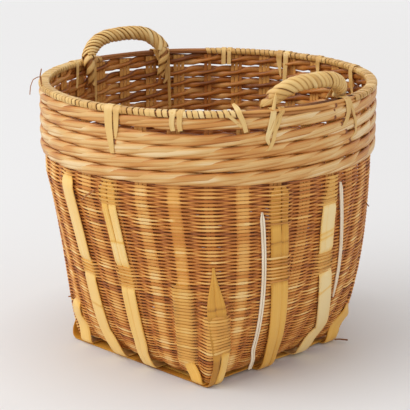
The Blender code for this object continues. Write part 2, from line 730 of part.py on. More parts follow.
def build_basket():
    clear_scene()
    weft = material("fine_weft", (0.50, 0.25, 0.09), 0.60)
    splint = material("bamboo_splint", (0.47, 0.24, 0.08), 0.55)
    outer_cane = material("pale_cane", (0.72, 0.49, 0.22), 0.45)
    inner_cane = material("brown_cane", (0.36, 0.18, 0.07), 0.55)
    slat = material("bamboo_slat", (0.74, 0.50, 0.18), 0.40)
    binding = material("split_cane", (0.70, 0.50, 0.23), 0.50)
    build_splints(splint)
    build_corner_stakes(splint)
    build_weft(weft)
    build_wale(outer_cane, inner_cane)
    build_rim(inner_cane, binding)
    build_ties(binding)
    build_handles(inner_cane, binding)
    build_slats(slat)
    build_thin_canes(outer_cane)


build_basket()
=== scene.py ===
"""The looks of a woven farm basket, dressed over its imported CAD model.

Every cane, strand and splint is a swept strip with its own grain. The fine weft, the wale, the
rim's bindings, the handles' windings and the slats replace their plain CAD solids in place.
Metres, +Z up, the floor at z = 0.
"""

import math

import bpy
import numpy as np
from mathutils import Matrix, Vector


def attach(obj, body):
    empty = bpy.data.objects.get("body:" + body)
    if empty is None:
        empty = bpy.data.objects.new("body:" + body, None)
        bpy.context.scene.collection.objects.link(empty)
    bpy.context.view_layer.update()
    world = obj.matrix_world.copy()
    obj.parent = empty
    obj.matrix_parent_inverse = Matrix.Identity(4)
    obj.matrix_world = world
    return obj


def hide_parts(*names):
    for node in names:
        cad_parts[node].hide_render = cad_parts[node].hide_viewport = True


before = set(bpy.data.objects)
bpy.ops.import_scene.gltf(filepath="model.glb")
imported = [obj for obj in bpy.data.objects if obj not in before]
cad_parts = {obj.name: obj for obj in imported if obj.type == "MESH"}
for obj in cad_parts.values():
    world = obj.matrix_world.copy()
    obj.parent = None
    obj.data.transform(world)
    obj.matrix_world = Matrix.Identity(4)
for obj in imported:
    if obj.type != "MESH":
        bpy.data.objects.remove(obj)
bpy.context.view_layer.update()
rng = np.random.default_rng(12)
MM = 0.001
UP = np.array([0, 0, 1.0])

# The wall's form, as in the CAD model
BASE_HALF = 0.130
BASE_CORNER_R = 0.012
WALL_R = 0.2235
ROUND_HEIGHT = 0.262
FLARE_POWER = 0.52
FLARE_EASE = 0.01
EDGE_HEIGHT = 0.0125
CORNER_DROP = 0.0100
CORNER_DROP_REACH = 0.4
BELLY_SHIFT = 0.0045
STAKES_PER_SIDE = 8
STAKES = 4 * STAKES_PER_SIDE
BASE_PITCH = 2 * BASE_HALF / STAKES_PER_SIDE
SPLINT_T = 0.0018
MAT_HEIGHT = 0.0098

# Fine weft
WEFT_TOP = 0.2855
ROW_PITCH = 0.0025
STRAND_T = 0.0019
STRAND_OFFSET = 0.00185
STRAND_STEPS = 8
WEFT_U = np.arange(STAKES * STRAND_STEPS) / STRAND_STEPS

# Wale
WALE_PITCH = 0.0174
BAND_BOTTOM = WEFT_TOP + 0.0015
BAND_TOP = BAND_BOTTOM + 5 * WALE_PITCH

# Rim
RIM_R = WALL_R + 0.0015
RIM_W = 0.0150
RIM_H = 0.0090
RIM_TOP = BAND_TOP + 0.0004 + RIM_H
RIM_Z = RIM_TOP - RIM_H / 2


def unit(v):
    """Vectors of length 1."""
    return v / np.maximum(np.linalg.norm(v, axis=-1, keepdims=True), 1e-12)


def eased(x):
    """0 to 1 with a smooth start and end."""
    x = np.clip(x, 0.0, 1.0)
    return x * x * (3 - 2 * x)


def mix(a, b, weight):
    return a * (1 - weight) + b * weight


def lengths(line):
    """How far along a polyline each of its points is."""
    return np.r_[0, np.cumsum(np.linalg.norm(np.diff(line, axis=0), axis=1))]


def spline(knots, places):
    """Catmull-Rom curve through evenly numbered knots, at places from 0 to the last knot's number."""
    knots = np.asarray(knots, float)
    if knots.ndim == 1:
        return spline(knots[:, None], places)[:, 0]
    padded = np.vstack([2 * knots[0] - knots[1], knots, 2 * knots[-1] - knots[-2]])
    places = np.clip(np.asarray(places, float), 0, len(knots) - 1)
    i = np.minimum(places.astype(int), len(knots) - 2)
    t = (places - i)[:, None]
    a, b, c, d = (padded[i + n] for n in range(4))
    curve = 2 * b + (c - a) * t + (2 * a - 5 * b + 4 * c - d) * t**2 + (3 * b - a - 3 * c + d) * t**3
    return curve / 2


def evenly(points, step, rounds=6):
    """A polyline cut into equal steps and smoothed by averaging neighbours."""
    points = np.asarray(points, float)
    length = lengths(points[:, :3])
    at = np.linspace(0, length[-1], max(3, math.ceil(length[-1] / step)))
    made = np.stack([np.interp(at, length, column) for column in points.T], 1)
    for _ in range(rounds):
        made[1:-1] = (made[:-2] + 2 * made[1:-1] + made[2:]) / 4
    return made


def drift(places, cells, closed=True):
    """Smooth random values, about -1 to 1, at places from 0 to 1, which meet again where closed."""
    values = rng.uniform(-1, 1, cells + 1)
    if closed:
        values[-1] = values[0]
    at = np.asarray(places) * cells
    i = np.minimum(at.astype(int), cells - 1)
    return values[i] + (values[i + 1] - values[i]) * eased(at - i)


def wander(places, cells):
    """A drift along something with two ends."""
    return drift(places, cells, closed=False)


# The wall's surface. u counts stakes from the corner at +X -Y, and rise is 0 at the weave's lower
# edge and 1 where the wall has become round.


def azimuth(u):
    """The angle from +X of the stake numbered u."""
    return np.radians(360 * np.asarray(u, float) / STAKES - 45)


def stakes_from(u, centre):
    """How many stakes round the basket u is from a centre, either way."""
    return (u - centre + STAKES / 2) % STAKES - STAKES / 2


def edge_height(u):
    """Height of the weave's lower edge, which dips to a foot at each corner."""
    half_side = STAKES_PER_SIDE / 2
    from_corner = half_side - np.abs(u % STAKES_PER_SIDE - half_side)
    return EDGE_HEIGHT - CORNER_DROP * np.exp(-((from_corner / CORNER_DROP_REACH) ** 2))


def rise_at(u, z):
    """The rise of the wall at a height."""
    return (z - edge_height(u)) / (ROUND_HEIGHT - edge_height(u))


def turned(x, y, side):
    """x and y after that many quarter turns."""
    turn = side * math.pi / 2
    return x * np.cos(turn) - y * np.sin(turn), x * np.sin(turn) + y * np.cos(turn)


def square_point(u):
    """x and y of a point on the rounded square at the base."""
    side, along = np.divmod(u % STAKES, STAKES_PER_SIDE)
    y = BASE_HALF * (2 * along / STAKES_PER_SIDE - 1)
    flat_end = BASE_HALF - BASE_CORNER_R
    centre = np.clip(y, -flat_end, flat_end)
    away = unit(np.stack([np.full_like(y, BASE_CORNER_R), y - centre], -1)) * BASE_CORNER_R
    return turned(flat_end + away[..., 0], centre + away[..., 1], side)


def wall_middle(u, rise):
    """Points on the middle surface of the wall."""
    u, rise = np.broadcast_arrays(np.asarray(u, float), np.asarray(rise, float))
    z = edge_height(u) + rise * (ROUND_HEIGHT - edge_height(u))
    ease = FLARE_EASE**FLARE_POWER
    share = ((np.maximum(rise, 0.0) + FLARE_EASE) ** FLARE_POWER - ease) / (
        (1 + FLARE_EASE) ** FLARE_POWER - ease
    )
    share = np.minimum(share, 1.0)
    x, y = square_point(u)
    lean = BELLY_SHIFT * np.sin(math.pi * np.clip(rise, 0, 1))
    x = x + (WALL_R * np.cos(azimuth(u)) - x) * share + lean
    y = y + (WALL_R * np.sin(azimuth(u)) - y) * share + lean
    return np.stack([x, y, z], -1)


def wall_frame(u, rise):
    """The wall's middle, its direction round the wall and its outward normal."""
    around = wall_middle(u + 0.1, rise) - wall_middle(u - 0.1, rise)
    upwards = wall_middle(u, rise + 0.01) - wall_middle(u, np.maximum(0, rise - 0.01))
    return wall_middle(u, rise), unit(around), unit(np.cross(around, upwards))


def ring_point(angle, radius, z):
    """Points at a radius from the basket's axis."""
    angle, radius, z = np.broadcast_arrays(angle, radius, z)
    return np.stack([radius * np.cos(angle), radius * np.sin(angle), z], -1)


def placed(knots):
    """x, y, z and width of knots in degrees, distance from the axis, height and millimetres of width."""
    degrees, radius, z, *widths = np.array(knots, float).T
    return np.column_stack([ring_point(np.radians(degrees), radius, z), *(w * MM for w in widths)])


def flat_across(line):
    """Directions across a line that lie flat against the basket."""
    return np.cross(unit(line * [1, 1, 0]), unit(np.gradient(line, axis=0)))


def laid(along_y, across, at, z):
    """A point on a strip under the base that runs along Y, or else along X."""
    return (across, at, z) if along_y else (at, across, z)


def towards(sides, way):
    """Directions, each turned over where it points against way."""
    return sides * np.sign(sides @ way)[:, None]


def through_base(near, base, far, way):
    """A line with its side directions down a wall, across the base and up the far wall."""
    line = np.vstack([near[0], base, far[0][::-1]])
    across = np.broadcast_to(way, base.shape)
    return line, np.vstack([towards(near[1], way), across, towards(far[1], way)[::-1]])


def section_angles(sides):
    """Angles of the corners of a swept section, from its width's direction."""
    return 2 * math.pi * (np.arange(sides) + 0.5) / sides


def shaded(tone, sides, edges=0.0, back=0.0):
    """Tones round a section, with painted shade that grows darker towards its edges and its back."""
    out = np.sin(section_angles(sides))
    tones = np.asarray(tone)[:, None] - np.reshape(edges, (-1, 1)) * (1 - out**2)
    return tones - back * np.clip(-out, 0, 1)


# What the materials read at each point
FIELDS = (("tone", "FLOAT", "value"), ("tint", "FLOAT", "value"), ("grain", "FLOAT_VECTOR", "vector"))
GRAIN_STARTS = 9
BAKE_MARGIN = 0.06
SHARP = math.radians(50)


class Strands:
    """Swept canes and strips gathered into one mesh, with what their materials and bake read."""

    def __init__(self):
        self.sweeps = []

    def sweep(
        self, line, across, half_w, half_t, sides=8, closed=False, tone=0.5, box=1.0, crown=0.0, tint=0.0
    ):
        """A strip along line, with its width along across.

        box below 1 squares its section, and crown raises the middle of its width.
        """
        def whole(value):
            value = np.asarray(value, float)
            return np.broadcast_to(value[:, None] if value.ndim == 1 else value, (count, sides))

        line = np.asarray(line, float)
        count = len(line)
        across = np.broadcast_to(np.asarray(across, float), line.shape)
        half_w = np.broadcast_to(half_w, count)[:, None]
        half_t = np.broadcast_to(half_t, count)[:, None]
        tone, tint = whole(tone), whole(tint)
        if closed:
            start = rng.integers(count)
            line, across, half_w, half_t, tone, tint = (
                np.roll(values, start, 0) for values in (line, across, half_w, half_t, tone, tint)
            )
            ahead, behind = np.roll(line, -1, 0), np.roll(line, 1, 0)
        else:
            ahead, behind = np.vstack([line[1:], line[-1:]]), np.vstack([line[:1], line[:-1]])
        tangent = unit(ahead - behind)
        across = unit(across - tangent * (across * tangent).sum(1, keepdims=True))
        out = np.cross(tangent, across)
        angle = section_angles(sides)
        wide, thick = (np.sign(v) * np.abs(v) ** box for v in (np.cos(angle), np.sin(angle)))
        raised = thick * half_t + crown * (1 - wide**2)
        points = line[:, None] + across[:, None] * (wide * half_w)[..., None]
        points = points + out[:, None] * raised[..., None]
        length = lengths(line)
        start = rng.uniform(0, GRAIN_STARTS, 3)
        grain = np.broadcast_arrays(length[:, None], wide * half_w, thick * half_t)
        self.sweeps.append({
            "points": points,
            "grain": np.stack(grain, -1) + start,
            "tone": tone,
            "tint": tint,
            "closed": closed,
            "length": length,
            "total": length[-1] + (np.linalg.norm(line[0] - line[-1]) if closed else 0),
            "girth": 2 * math.pi * math.sqrt((float(half_w.max()) ** 2 + float(half_t.max()) ** 2) / 2),
        })

    def corners(self):
        """Face corners as vertex numbers, their bake coordinates, and each face's count of corners."""
        side = math.sqrt(sum(s["total"] * s["girth"] for s in self.sweeps))
        step = max(float(np.diff(s["length"]).max()) for s in self.sweeps)
        rows = [math.ceil(s["total"] / side) for s in self.sweeps]
        height = sum(r * s["girth"] for r, s in zip(rows, self.sweeps))
        numbers, places, sizes = [], [], []
        base, low = 0, 0.0
        for count_rows, s in zip(rows, self.sweeps):
            n, m = s["points"].shape[:2]
            last = n if s["closed"] else n - 1
            i, j = (a.ravel() for a in np.meshgrid(np.arange(last), np.arange(m), indexing="ij"))
            i1, j1 = (i + 1) % n, (j + 1) % m
            numbers.append(base + np.stack([i * m + j, i * m + j1, i1 * m + j1, i1 * m + j], 1).ravel())
            length = np.r_[s["length"], s["total"]]
            row = np.minimum((length[i] / side).astype(int), count_rows - 1)
            scale = s["girth"] / height
            edges = BAKE_MARGIN + (1 - 2 * BAKE_MARGIN) * np.arange(m + 1) / m
            x0, x1 = ((length[k] - row * side) / (side + step) for k in (i, i + 1))
            y0, y1 = (low + (row + edges[k]) * scale for k in (j, j + 1))
            places.append(np.stack([x0, y0, x0, y1, x1, y1, x1, y0], 1).reshape(-1, 2))
            sizes.append(np.full(len(i), 4))
            if not s["closed"]:
                ends = np.arange(m)
                numbers += [base + ends[::-1], base + (n - 1) * m + ends]
                for x in (0.0, s["total"] % side / (side + step)):
                    places.append(np.stack([np.full(m, x), low + edges[:-1] * scale], 1))
                sizes.append(np.full(2, m))
            base += n * m
            low += count_rows * scale
        return np.concatenate(numbers), np.concatenate(places), np.concatenate(sizes)

    def build(self, name, look, *nodes):
        """The piece, which rides on the basket and stands for those CAD nodes."""
        slot, mat = look
        numbers, places, sizes = self.corners()
        points = np.concatenate([s["points"].reshape(-1, 3) for s in self.sweeps])
        mesh = bpy.data.meshes.new(name)
        mesh.vertices.add(len(points))
        mesh.vertices.foreach_set("co", points.astype(np.float32).ravel())
        mesh.loops.add(len(numbers))
        mesh.polygons.add(len(sizes))
        mesh.polygons.foreach_set("loop_start", np.r_[0, np.cumsum(sizes)[:-1]].astype(np.int32))
        mesh.polygons.foreach_set("vertices", numbers.astype(np.int32))
        mesh.update(calc_edges=True)
        mesh.uv_layers.new(name="OFBake").uv.foreach_set("vector", places.astype(np.float32).ravel())
        for key, kind, field in FIELDS:
            values = np.concatenate([s[key].ravel() for s in self.sweeps])
            mesh.attributes.new(key, kind, "POINT").data.foreach_set(field, values.astype(np.float32))
        mesh.shade_smooth()
        mesh.set_sharp_from_angle(angle=SHARP)
        mesh.materials.append(mat)
        piece = bpy.data.objects.new(name, mesh)
        bpy.context.scene.collection.objects.link(piece)
        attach(piece, "root")
        if nodes:
            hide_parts(*nodes)


# Materials


def srgb(r, g, b):
    """A colour given in a picture's own 0 to 255 numbers, as linear light, with alpha."""
    return (*(((c / 255 + 0.055) / 1.055) ** 2.4 if c > 10 else c / 3294 for c in (r, g, b)), 1)


def put(node, inputs):
    """Sets a node's inputs to values, or links other nodes' outputs to them."""
    for key, value in inputs.items():
        if isinstance(value, bpy.types.NodeSocket):
            node.id_data.links.new(value, node.inputs[key])
        else:
            node.inputs[key].default_value = value


def add(tree, kind, inputs=(), out=0, **values):
    """The output of a new shader node, whose inputs are set."""
    node = tree.nodes.new(f"ShaderNode{kind}")
    for key, value in values.items():
        setattr(node, key, value)
    put(node, dict(inputs))
    return node.outputs[out]


FIBRE_RELIEF = 0.0004
ROUGHNESS_RANGE = 0.12
BLOTCH_FINENESS = 60.0


def cane_material(name, stops, streaks, roughness, bump, stretch=28.0, fineness=900.0, tinted=None):
    """Dry cane: a colour for each strand's tone, faint blotches, and streaks along its grain.

    The first two stops are the ends of the range of tones, and streaks gives the blotches' strength
    and the streaks'.
    """
    made = bpy.data.materials.new(name)
    made.use_nodes = True
    tree = made.node_tree
    place = add(tree, "Attribute", out="Fac", attribute_name="tone")
    grain = add(tree, "Attribute", out="Vector", attribute_name="grain")

    def noise(scale, detail, rough=0.5):
        stretched = add(tree, "VectorMath", {0: grain, 1: scale}, operation="MULTIPLY")
        values = {"Vector": stretched, "Scale": 1.0, "Detail": detail, "Roughness": rough}
        return add(tree, "TexNoise", values, out="Fac")

    blotches = noise((stretch * 0.7, BLOTCH_FINENESS, BLOTCH_FINENESS), 2.0)
    fibres = noise((stretch, fineness, fineness), 3.0, 0.6)
    for noisy, strength in zip((blotches, fibres), streaks):
        change = add(tree, "Math", {0: noisy, 1: strength, 2: -strength / 2}, operation="MULTIPLY_ADD")
        place = add(tree, "Math", {0: place, 1: change}, operation="ADD")
    colour = add(tree, "ValToRGB", {"Fac": place}, out="Color")
    ramp = colour.node.color_ramp
    ramp.interpolation = "EASE"
    for number, (at, *shade) in enumerate(stops):
        stop = ramp.elements[number] if number < 2 else ramp.elements.new(at)
        stop.position = at
        stop.color = srgb(*shade)
    if tinted:
        tint = add(tree, "Attribute", out="Fac", attribute_name="tint")
        mixed = {"Factor": tint, "A": colour, "B": srgb(*tinted)}
        colour = add(tree, "Mix", mixed, out="Result", data_type="RGBA")
    limits = {"To Min": roughness + ROUGHNESS_RANGE, "To Max": roughness - ROUGHNESS_RANGE}
    rough = add(tree, "MapRange", {"Value": fibres, **limits}, out="Result")
    height = {"Height": fibres, "Strength": bump, "Distance": FIBRE_RELIEF}
    relief = add(tree, "Bump", height, out="Normal")
    put(tree.nodes["Principled BSDF"], {"Base Color": colour, "Roughness": rough, "Normal": relief})
    return made


# Each look is its material slot and its material
WEFT = "fine_weft", cane_material(
    "fine_weft_strands",
    (
        (0.0, 106, 52, 14), (1.0, 250, 208, 136),
        (0.3, 178, 100, 36), (0.55, 216, 138, 56), (0.8, 240, 178, 92),
    ),
    (0.30, 0.35), 0.55, 0.4, tinted=(236, 186, 92),
)
SPLINT = "splint", cane_material(
    "bamboo_splint",
    ((0.0, 112, 56, 14), (1.0, 232, 172, 88), (0.5, 188, 112, 42)),
    (0.4, 0.4), 0.55, 0.4, stretch=14,
)
WALE_CANE = "pale_cane", cane_material(
    "wale_cane",
    (
        (0.0, 132, 72, 24), (1.0, 244, 212, 160),
        (0.3, 190, 116, 44), (0.55, 214, 150, 76), (0.8, 230, 184, 116),
    ),
    (0.7, 0.6), 0.42, 0.6, stretch=9, fineness=1100,
)
BROWN_CANE = "brown_cane", cane_material(
    "brown_cane",
    ((0.0, 100, 54, 18), (1.0, 226, 164, 88), (0.5, 168, 104, 44)),
    (0.4, 0.4), 0.5, 0.5, stretch=12,
)
SPLIT_CANE = "split_cane", cane_material(
    "split_cane",
    ((0.0, 128, 82, 30), (1.0, 250, 222, 160), (0.4, 206, 154, 78), (0.7, 234, 192, 118)),
    (0.4, 0.4), 0.42, 0.5, stretch=16,
)
SLAT = "bamboo_slat", cane_material(
    "bamboo_slat",
    (
        (0.0, 150, 90, 28), (1.0, 254, 226, 164),
        (0.35, 216, 154, 54), (0.6, 242, 186, 84), (0.8, 252, 208, 122),
    ),
    (0.25, 0.3), 0.36, 0.25, stretch=6, fineness=700,
)
THIN = "pale_cane", cane_material(
    "thin_split_cane",
    ((0.0, 150, 98, 52), (1.0, 255, 240, 214), (0.6, 240, 216, 180)),
    (0.4, 0.5), 0.5, 0.4, stretch=8,
)


# Slats: the places that the weft and the slats share

# (side of the base, place under it, width, near end, far end), and an end is its place across the
# foot of the wall, the stake's number and the height at its tip, and its bend in stakes
SLATS = {
    "slat_y1": (3, -0.105, 0.022, (-0.106, 25.5, 0.150, 0.0), (-0.100, 14.4, 0.200, 0.0)),
    "slat_y2": (3, -0.032, 0.026, (-0.040, 27.2, 0.282, 0.0), (-0.026, 12.6, 0.255, 0.0)),
    "slat_y3": (3, 0.028, 0.023, (0.026, 28.9, 0.282, 0.0), (0.030, 10.8, 0.262, 0.0)),
    "slat_y4": (3, 0.119, 0.021, (0.097, 30.79, 0.282, 0.0), (0.102, 8.9, 0.210, 0.0)),
    "slat_x1": (0, -0.1235, 0.026, (-0.1156, 0.03, 0.177, -0.10), (-0.102, 23.4, 0.190, 0.0)),
    "slat_x2": (0, -0.030, 0.026, (-0.0348, 2.13, 0.282, -0.26), (-0.034, 21.3, 0.262, 0.0)),
    "slat_x3": (0, 0.042, 0.026, (0.0551, 4.09, 0.282, -0.68), (0.050, 18.9, 0.268, 0.0)),
    "slat_x4": (0, 0.110, 0.024, (0.1155, 6.9, 0.160, 0.0), (0.102, 17.1, 0.180, 0.0)),
}
# Where the weft passes over a slat: (slat, far end or not, lowest and highest height, share of the
# row's height, share of slat colour)
COVERS = (
    ("slat_y2", 0, 0.132, 0.157, 0.66, 0.45),
    ("slat_y2", 0, 0.275, 0.300, 0.66, 0.20),
    ("slat_y3", 0, 0.130, 0.166, 0.66, 0.35),
    ("slat_y3", 0, 0.252, 0.300, 0.66, 0.60),
    ("slat_y4", 0, 0.030, 0.148, 0.94, 0.50),
    ("slat_x1", 0, 0.048, 0.108, 0.92, 0.45),
    ("slat_x2", 0, 0.228, 0.300, 0.50, 0.25),
    ("slat_x2", 0, 0.144, 0.186, 0.66, 0.20),
    ("slat_x3", 0, 0.244, 0.300, 0.80, 0.55),
    ("slat_x3", 0, 0.142, 0.177, 0.72, 0.40),
    ("slat_y1", 1, 0.120, 0.160, 0.62, 0.10),
    ("slat_y2", 1, 0.180, 0.290, 0.66, 0.20),
    ("slat_y3", 1, 0.120, 0.160, 0.62, 0.10),
    ("slat_y4", 1, 0.150, 0.190, 0.62, 0.10),
    ("slat_x1", 1, 0.090, 0.130, 0.62, 0.10),
    ("slat_x2", 1, 0.200, 0.290, 0.66, 0.20),
    ("slat_x3", 1, 0.110, 0.150, 0.62, 0.10),
    ("slat_x4", 1, 0.120, 0.150, 0.62, 0.10),
)
COVER_RAMP = 0.009
COVER_EDGE = 0.0006
COVER_FADE = 0.0065
# Height above which a slat's near end lies inside the weft, among the stakes
BURIED = {"slat_y1": 0.066, "slat_y4": 0.146, "slat_x4": 0.050}
BURIED_HALF_W = 0.0078
ONTO_STAKE = 0.020
# (length of the tip, its least share of the width)
SLAT_TIP = (0.012, 0.55)
SLAT_TIPS = {"slat_x1": (0.066, 0.14), "slat_x3": (0.050, 0.42), "slat_x4": (0.020, 0.5)}
SLAT_T = 0.0022
SLAT_STEP = 0.0025
SLAT_LEAVES_WALL = 0.046
# Distance out from the wall's middle of a slat over, under and inside the weft, and of the weft's
# rows where they cross a slat
SLAT_OVER = 0.0047
SLAT_UNDER = 0.0022
SLAT_BURIED = 0.0004
CROSS_OVER = SLAT_UNDER + SLAT_T / 2 + STRAND_T / 2 + 0.0001
CROSS_UNDER = -0.0004


def side_place(side, across):
    """The stake number on a side of the base where a strip at that place across it comes up."""
    return (side + 0.5) * STAKES_PER_SIDE + (across if side in (0, 3) else -across) / BASE_PITCH


def slat_end(name, far):
    """The side that a slat's end is on, and that end."""
    side, _, _, near_end, far_end = SLATS[name]
    return ((side + 2) % 4, far_end) if far else (side, near_end)


def slat_u(side, end, z):
    """Where a slat is round the wall, at a height."""
    across, top_u, top_z, bend = end
    low_u = side_place(side, across)
    top_rise, low_rise = rise_at(top_u, top_z), rise_at(low_u, SLAT_LEAVES_WALL)
    share = (rise_at(low_u, z) - low_rise) / (top_rise - low_rise)
    return low_u + (top_u - low_u) * share + 4 * bend * share * (1 - share)


def slat_half(name, far, z):
    """Half a slat's width at a height: it narrows towards its tip."""
    taper, tip_share = SLAT_TIPS.get(name, SLAT_TIP) if not far else SLAT_TIP
    tip_z = slat_end(name, far)[1][2]
    half = SLATS[name][2] / 2 * (tip_share + (1 - tip_share) * eased((tip_z - z) / taper))
    return half + (np.minimum(half, BURIED_HALF_W) - half) * buried(name, far, z)


def within(z, low, high):
    """1 well between two heights and 0 well outside."""
    return eased(np.minimum(z - low, high - z) / COVER_RAMP + 0.5)


def covered(name, far, z):
    """How far the weft passes over a slat at a height: 1 wholly, 0 not at all."""
    found = np.zeros_like(z)
    for slat, end, low, high, *_ in COVERS:
        if slat == name and end == far:
            found = np.maximum(found, within(z, low, high))
    return found


def buried(name, far, z):
    """How far a slat lies inside the weft at a height: 1 wholly, 0 not at all."""
    return 0 * z if far or name not in BURIED else eased((z - BURIED[name]) / COVER_RAMP + 0.5)


# Fine weft

DIP_POWER = 5
FLAT_SHARE = 0.19
# Half a strand's height as a share of the rows' pitch, how much more it has inside the stakes, and
# how far the strands close over a stake
STRAND_HALF_H = 0.57
INSIDE_FULLER = 0.24
CLOSING = (0.10, 0.42)
CLOSING_REACH = 0.19
# How far a row strays up and down, over two lengths, and in and out
ROW_STRAYS = (0.00016, 0.00012)
ROW_SWAYS = 0.00012
# How dark the painted shade on a strand's edges and back is
WEFT_EDGE_SHADE = 0.40
WEFT_BACK_SHADE = 0.30
# The nodes that each part of the rows stands for, from the floor up
WEFT_NODES = (
    ("fine_weft_outer_lower",),
    ("fine_weft_outer_lower", "fine_weft_inner"),
    ("fine_weft_outer_upper", "fine_weft_inner"),
    ("fine_weft_outer_upper",),
)


def row_rise(u, level):
    """The rise of a row round the wall: level but for its dip at the corners, which dies out upwards."""
    low = EDGE_HEIGHT + level * (WEFT_TOP - EDGE_HEIGHT)
    return rise_at(u, low + (edge_height(u) - EDGE_HEIGHT) * (1 - level) ** DIP_POWER)


def weft_levels():
    """Shares of the weave's height at which a row lies, a row's pitch apart up the middle of a side."""
    middle = STAKES_PER_SIDE / 2
    shares = np.linspace(0, 1, 2001)
    length = lengths(wall_middle(middle, row_rise(middle, shares)))
    rows = round(length[-1] / ROW_PITCH)
    return np.interp((np.arange(rows) + 0.5) * length[-1] / rows, length, shares)


def weave_offset(u, row):
    """Side of the wall that a row is on: 1 outside a stake, -1 inside it, and a smooth pass between."""
    nearest = np.round(u)
    sign = np.where((nearest + row) % 2 == 0, 1.0, -1.0)
    past = np.clip((np.abs(u - nearest) - FLAT_SHARE) / (1 - 2 * FLAT_SHARE), 0, 0.5)
    return sign * np.cos(math.pi * past)


def strand_tones(count, mean=0.58, spread=0.13, pale=0.05):
    """A tone for each place along a row, which changes where one strand ends and the next begins."""
    tones = np.empty(count)
    start = 0
    offset = rng.integers(0, count)
    while start < count:
        run = int(rng.integers(count // 14, count // 3))
        tone = rng.normal(mean, spread)
        if rng.random() < pale:
            tone = rng.uniform(0.75, 0.95)
        tones[start:start + run] = tone
        start += run
    return np.roll(tones, offset)


def over_slats(row, rise, z, pitch, offset, height):
    """A row's offset, height and share of slat colour, as the slats under it change them."""
    tint = np.zeros(len(z))
    ahead, behind = (wall_middle(WEFT_U + shift, rise) for shift in (0.5, -0.5))
    stake_pitch = np.linalg.norm(ahead - behind, axis=1)
    for name, far, low, high, share, slat_colour in COVERS:
        centre = slat_u(*slat_end(name, far), z)
        past_edge = np.abs(stakes_from(WEFT_U, centre)) * stake_pitch - slat_half(name, far, z)
        weight = (1 - eased((past_edge - COVER_EDGE) / COVER_FADE)) * within(z, low, high)
        over = (np.round(centre) + row) % 2 == 0
        outwards = np.maximum(offset, mix(offset, CROSS_OVER, weight))
        offset = np.where(over, outwards, mix(offset, np.minimum(offset, CROSS_UNDER), weight))
        height = np.where(over, mix(height, pitch * share, weight), height)
        tint = np.where(over, np.maximum(tint, slat_colour * weight), tint)
    return offset, height, tint


def build_fine_weft():
    """Rows of thin strands woven over and under the stakes, and over the slats where these dive."""
    levels = weft_levels()
    u, round_share = WEFT_U, WEFT_U / STAKES
    nearest = np.round(u)
    closing = rng.uniform(*CLOSING, STAKES)[nearest.astype(int) % STAKES]
    closing = closing * np.exp(-((np.abs(u - nearest) / CLOSING_REACH) ** 4))
    gatherings = [Strands() for _ in WEFT_NODES]
    for row, level in enumerate(levels):
        wobble = ROW_STRAYS[0] * drift(round_share, 40) + ROW_STRAYS[1] * drift(round_share, 90)
        rise = row_rise(u, level)
        middle, around, normal = wall_frame(u, rise)
        upwards = np.cross(normal, around)
        first, last = max(row - 1, 0), min(row + 1, len(levels) - 1)
        below, above = (wall_middle(u, row_rise(u, levels[k])) for k in (first, last))
        pitch = np.linalg.norm(above - below, axis=1) / (last - first)
        side = weave_offset(u, row)
        offset = STRAND_OFFSET * side + ROW_SWAYS * drift(round_share, 60)
        over_stake = (side > 0) * closing
        inside = INSIDE_FULLER * np.clip(-side, 0, 1) ** 2
        height = pitch * (STRAND_HALF_H + inside + over_stake) * (1 + 0.08 * drift(round_share, 64))
        offset, height, tint = over_slats(row, rise, middle[:, 2], pitch, offset, height)
        line = middle + normal * offset[:, None] + upwards * wobble[:, None]
        # Painted shade and light: darker where a strand passes inside the stakes, lighter outside them,
        # and lighter still with less edge shade where it closes over a stake
        tone = strand_tones(len(u)) + 0.05 * drift(round_share, 24) + 0.13 * side + 0.25 * over_stake
        half_t = STRAND_T / 2 * (1 + 0.06 * drift(round_share, 50))
        gatherings[row * len(gatherings) // len(levels)].sweep(
            line, upwards, height, half_t, sides=6, closed=True,
            tone=shaded(tone, 6, WEFT_EDGE_SHADE - over_stake, WEFT_BACK_SHADE), tint=tint,
        )
    for number, (gathering, nodes) in enumerate(zip(gatherings, WEFT_NODES), start=1):
        gathering.build(f"fine_weft_rows_{number}", WEFT, *nodes)


BASE_ROWS = 6
BASE_ROW_PITCH = 0.0027
BASE_ROW_FIRST = 0.1125
LAST_ROW_DROP = 0.0006


def build_base_rows():
    """Rows of weft in the plane of the base, between the mat and the foot of the wall."""
    rows = Strands()
    x, y = square_point(WEFT_U)
    for row in range(BASE_ROWS):
        share = (BASE_ROW_FIRST + BASE_ROW_PITCH * row) / BASE_HALF
        z = MAT_HEIGHT + STRAND_OFFSET * weave_offset(WEFT_U, row)
        line = np.stack([x * share, y * share, z - LAST_ROW_DROP * (row == BASE_ROWS - 1)], -1)
        away = unit(line * [1, 1, 0])
        # Painted shade on the strands' edges
        tone = shaded(strand_tones(len(line)), 6, WEFT_EDGE_SHADE)
        rows.sweep(line, away, BASE_ROW_PITCH / 2, STRAND_T / 2, sides=6, closed=True, tone=tone)
    rows.build("base_edge_rows", WEFT)


# Stray ends: a twig in the weft, a fibre curling from the rim, and small splinters, as their radius,
# tone and knots in (degrees round the basket, distance from the axis, height)
STRAYS = (
    (0.0012, 0.55, ((-92.1, 0.2262, 0.249), (-88.0, 0.2305, 0.2600), (-84.2, 0.2312, 0.269))),
    (0.0006, 0.55, (
        (-119.9, 0.2310, 0.3800), (-118.2, 0.2330, 0.3960), (-116.0, 0.2400, 0.3975),
        (-117.0, 0.2450, 0.3935), (-119.0, 0.2470, 0.3830), (-120.0, 0.2475, 0.3710),
    )),
    (0.0008, 0.45, ((-122.6, 0.2300, 0.3820), (-122.0, 0.2320, 0.3930), (-121.6, 0.2300, 0.4040))),
    (0.0012, 0.15, ((38.0, 0.1830, 0.0060), (39.9, 0.1890, 0.0045), (39.6, 0.2010, 0.0040))),
    (0.0009, 0.30, ((29.9, 0.2230, 0.2200), (28.6, 0.2270, 0.2180), (27.6, 0.2300, 0.2168))),
    (0.0009, 0.35, ((-129.6, 0.1900, 0.0700), (-129.9, 0.1990, 0.0690))),
)


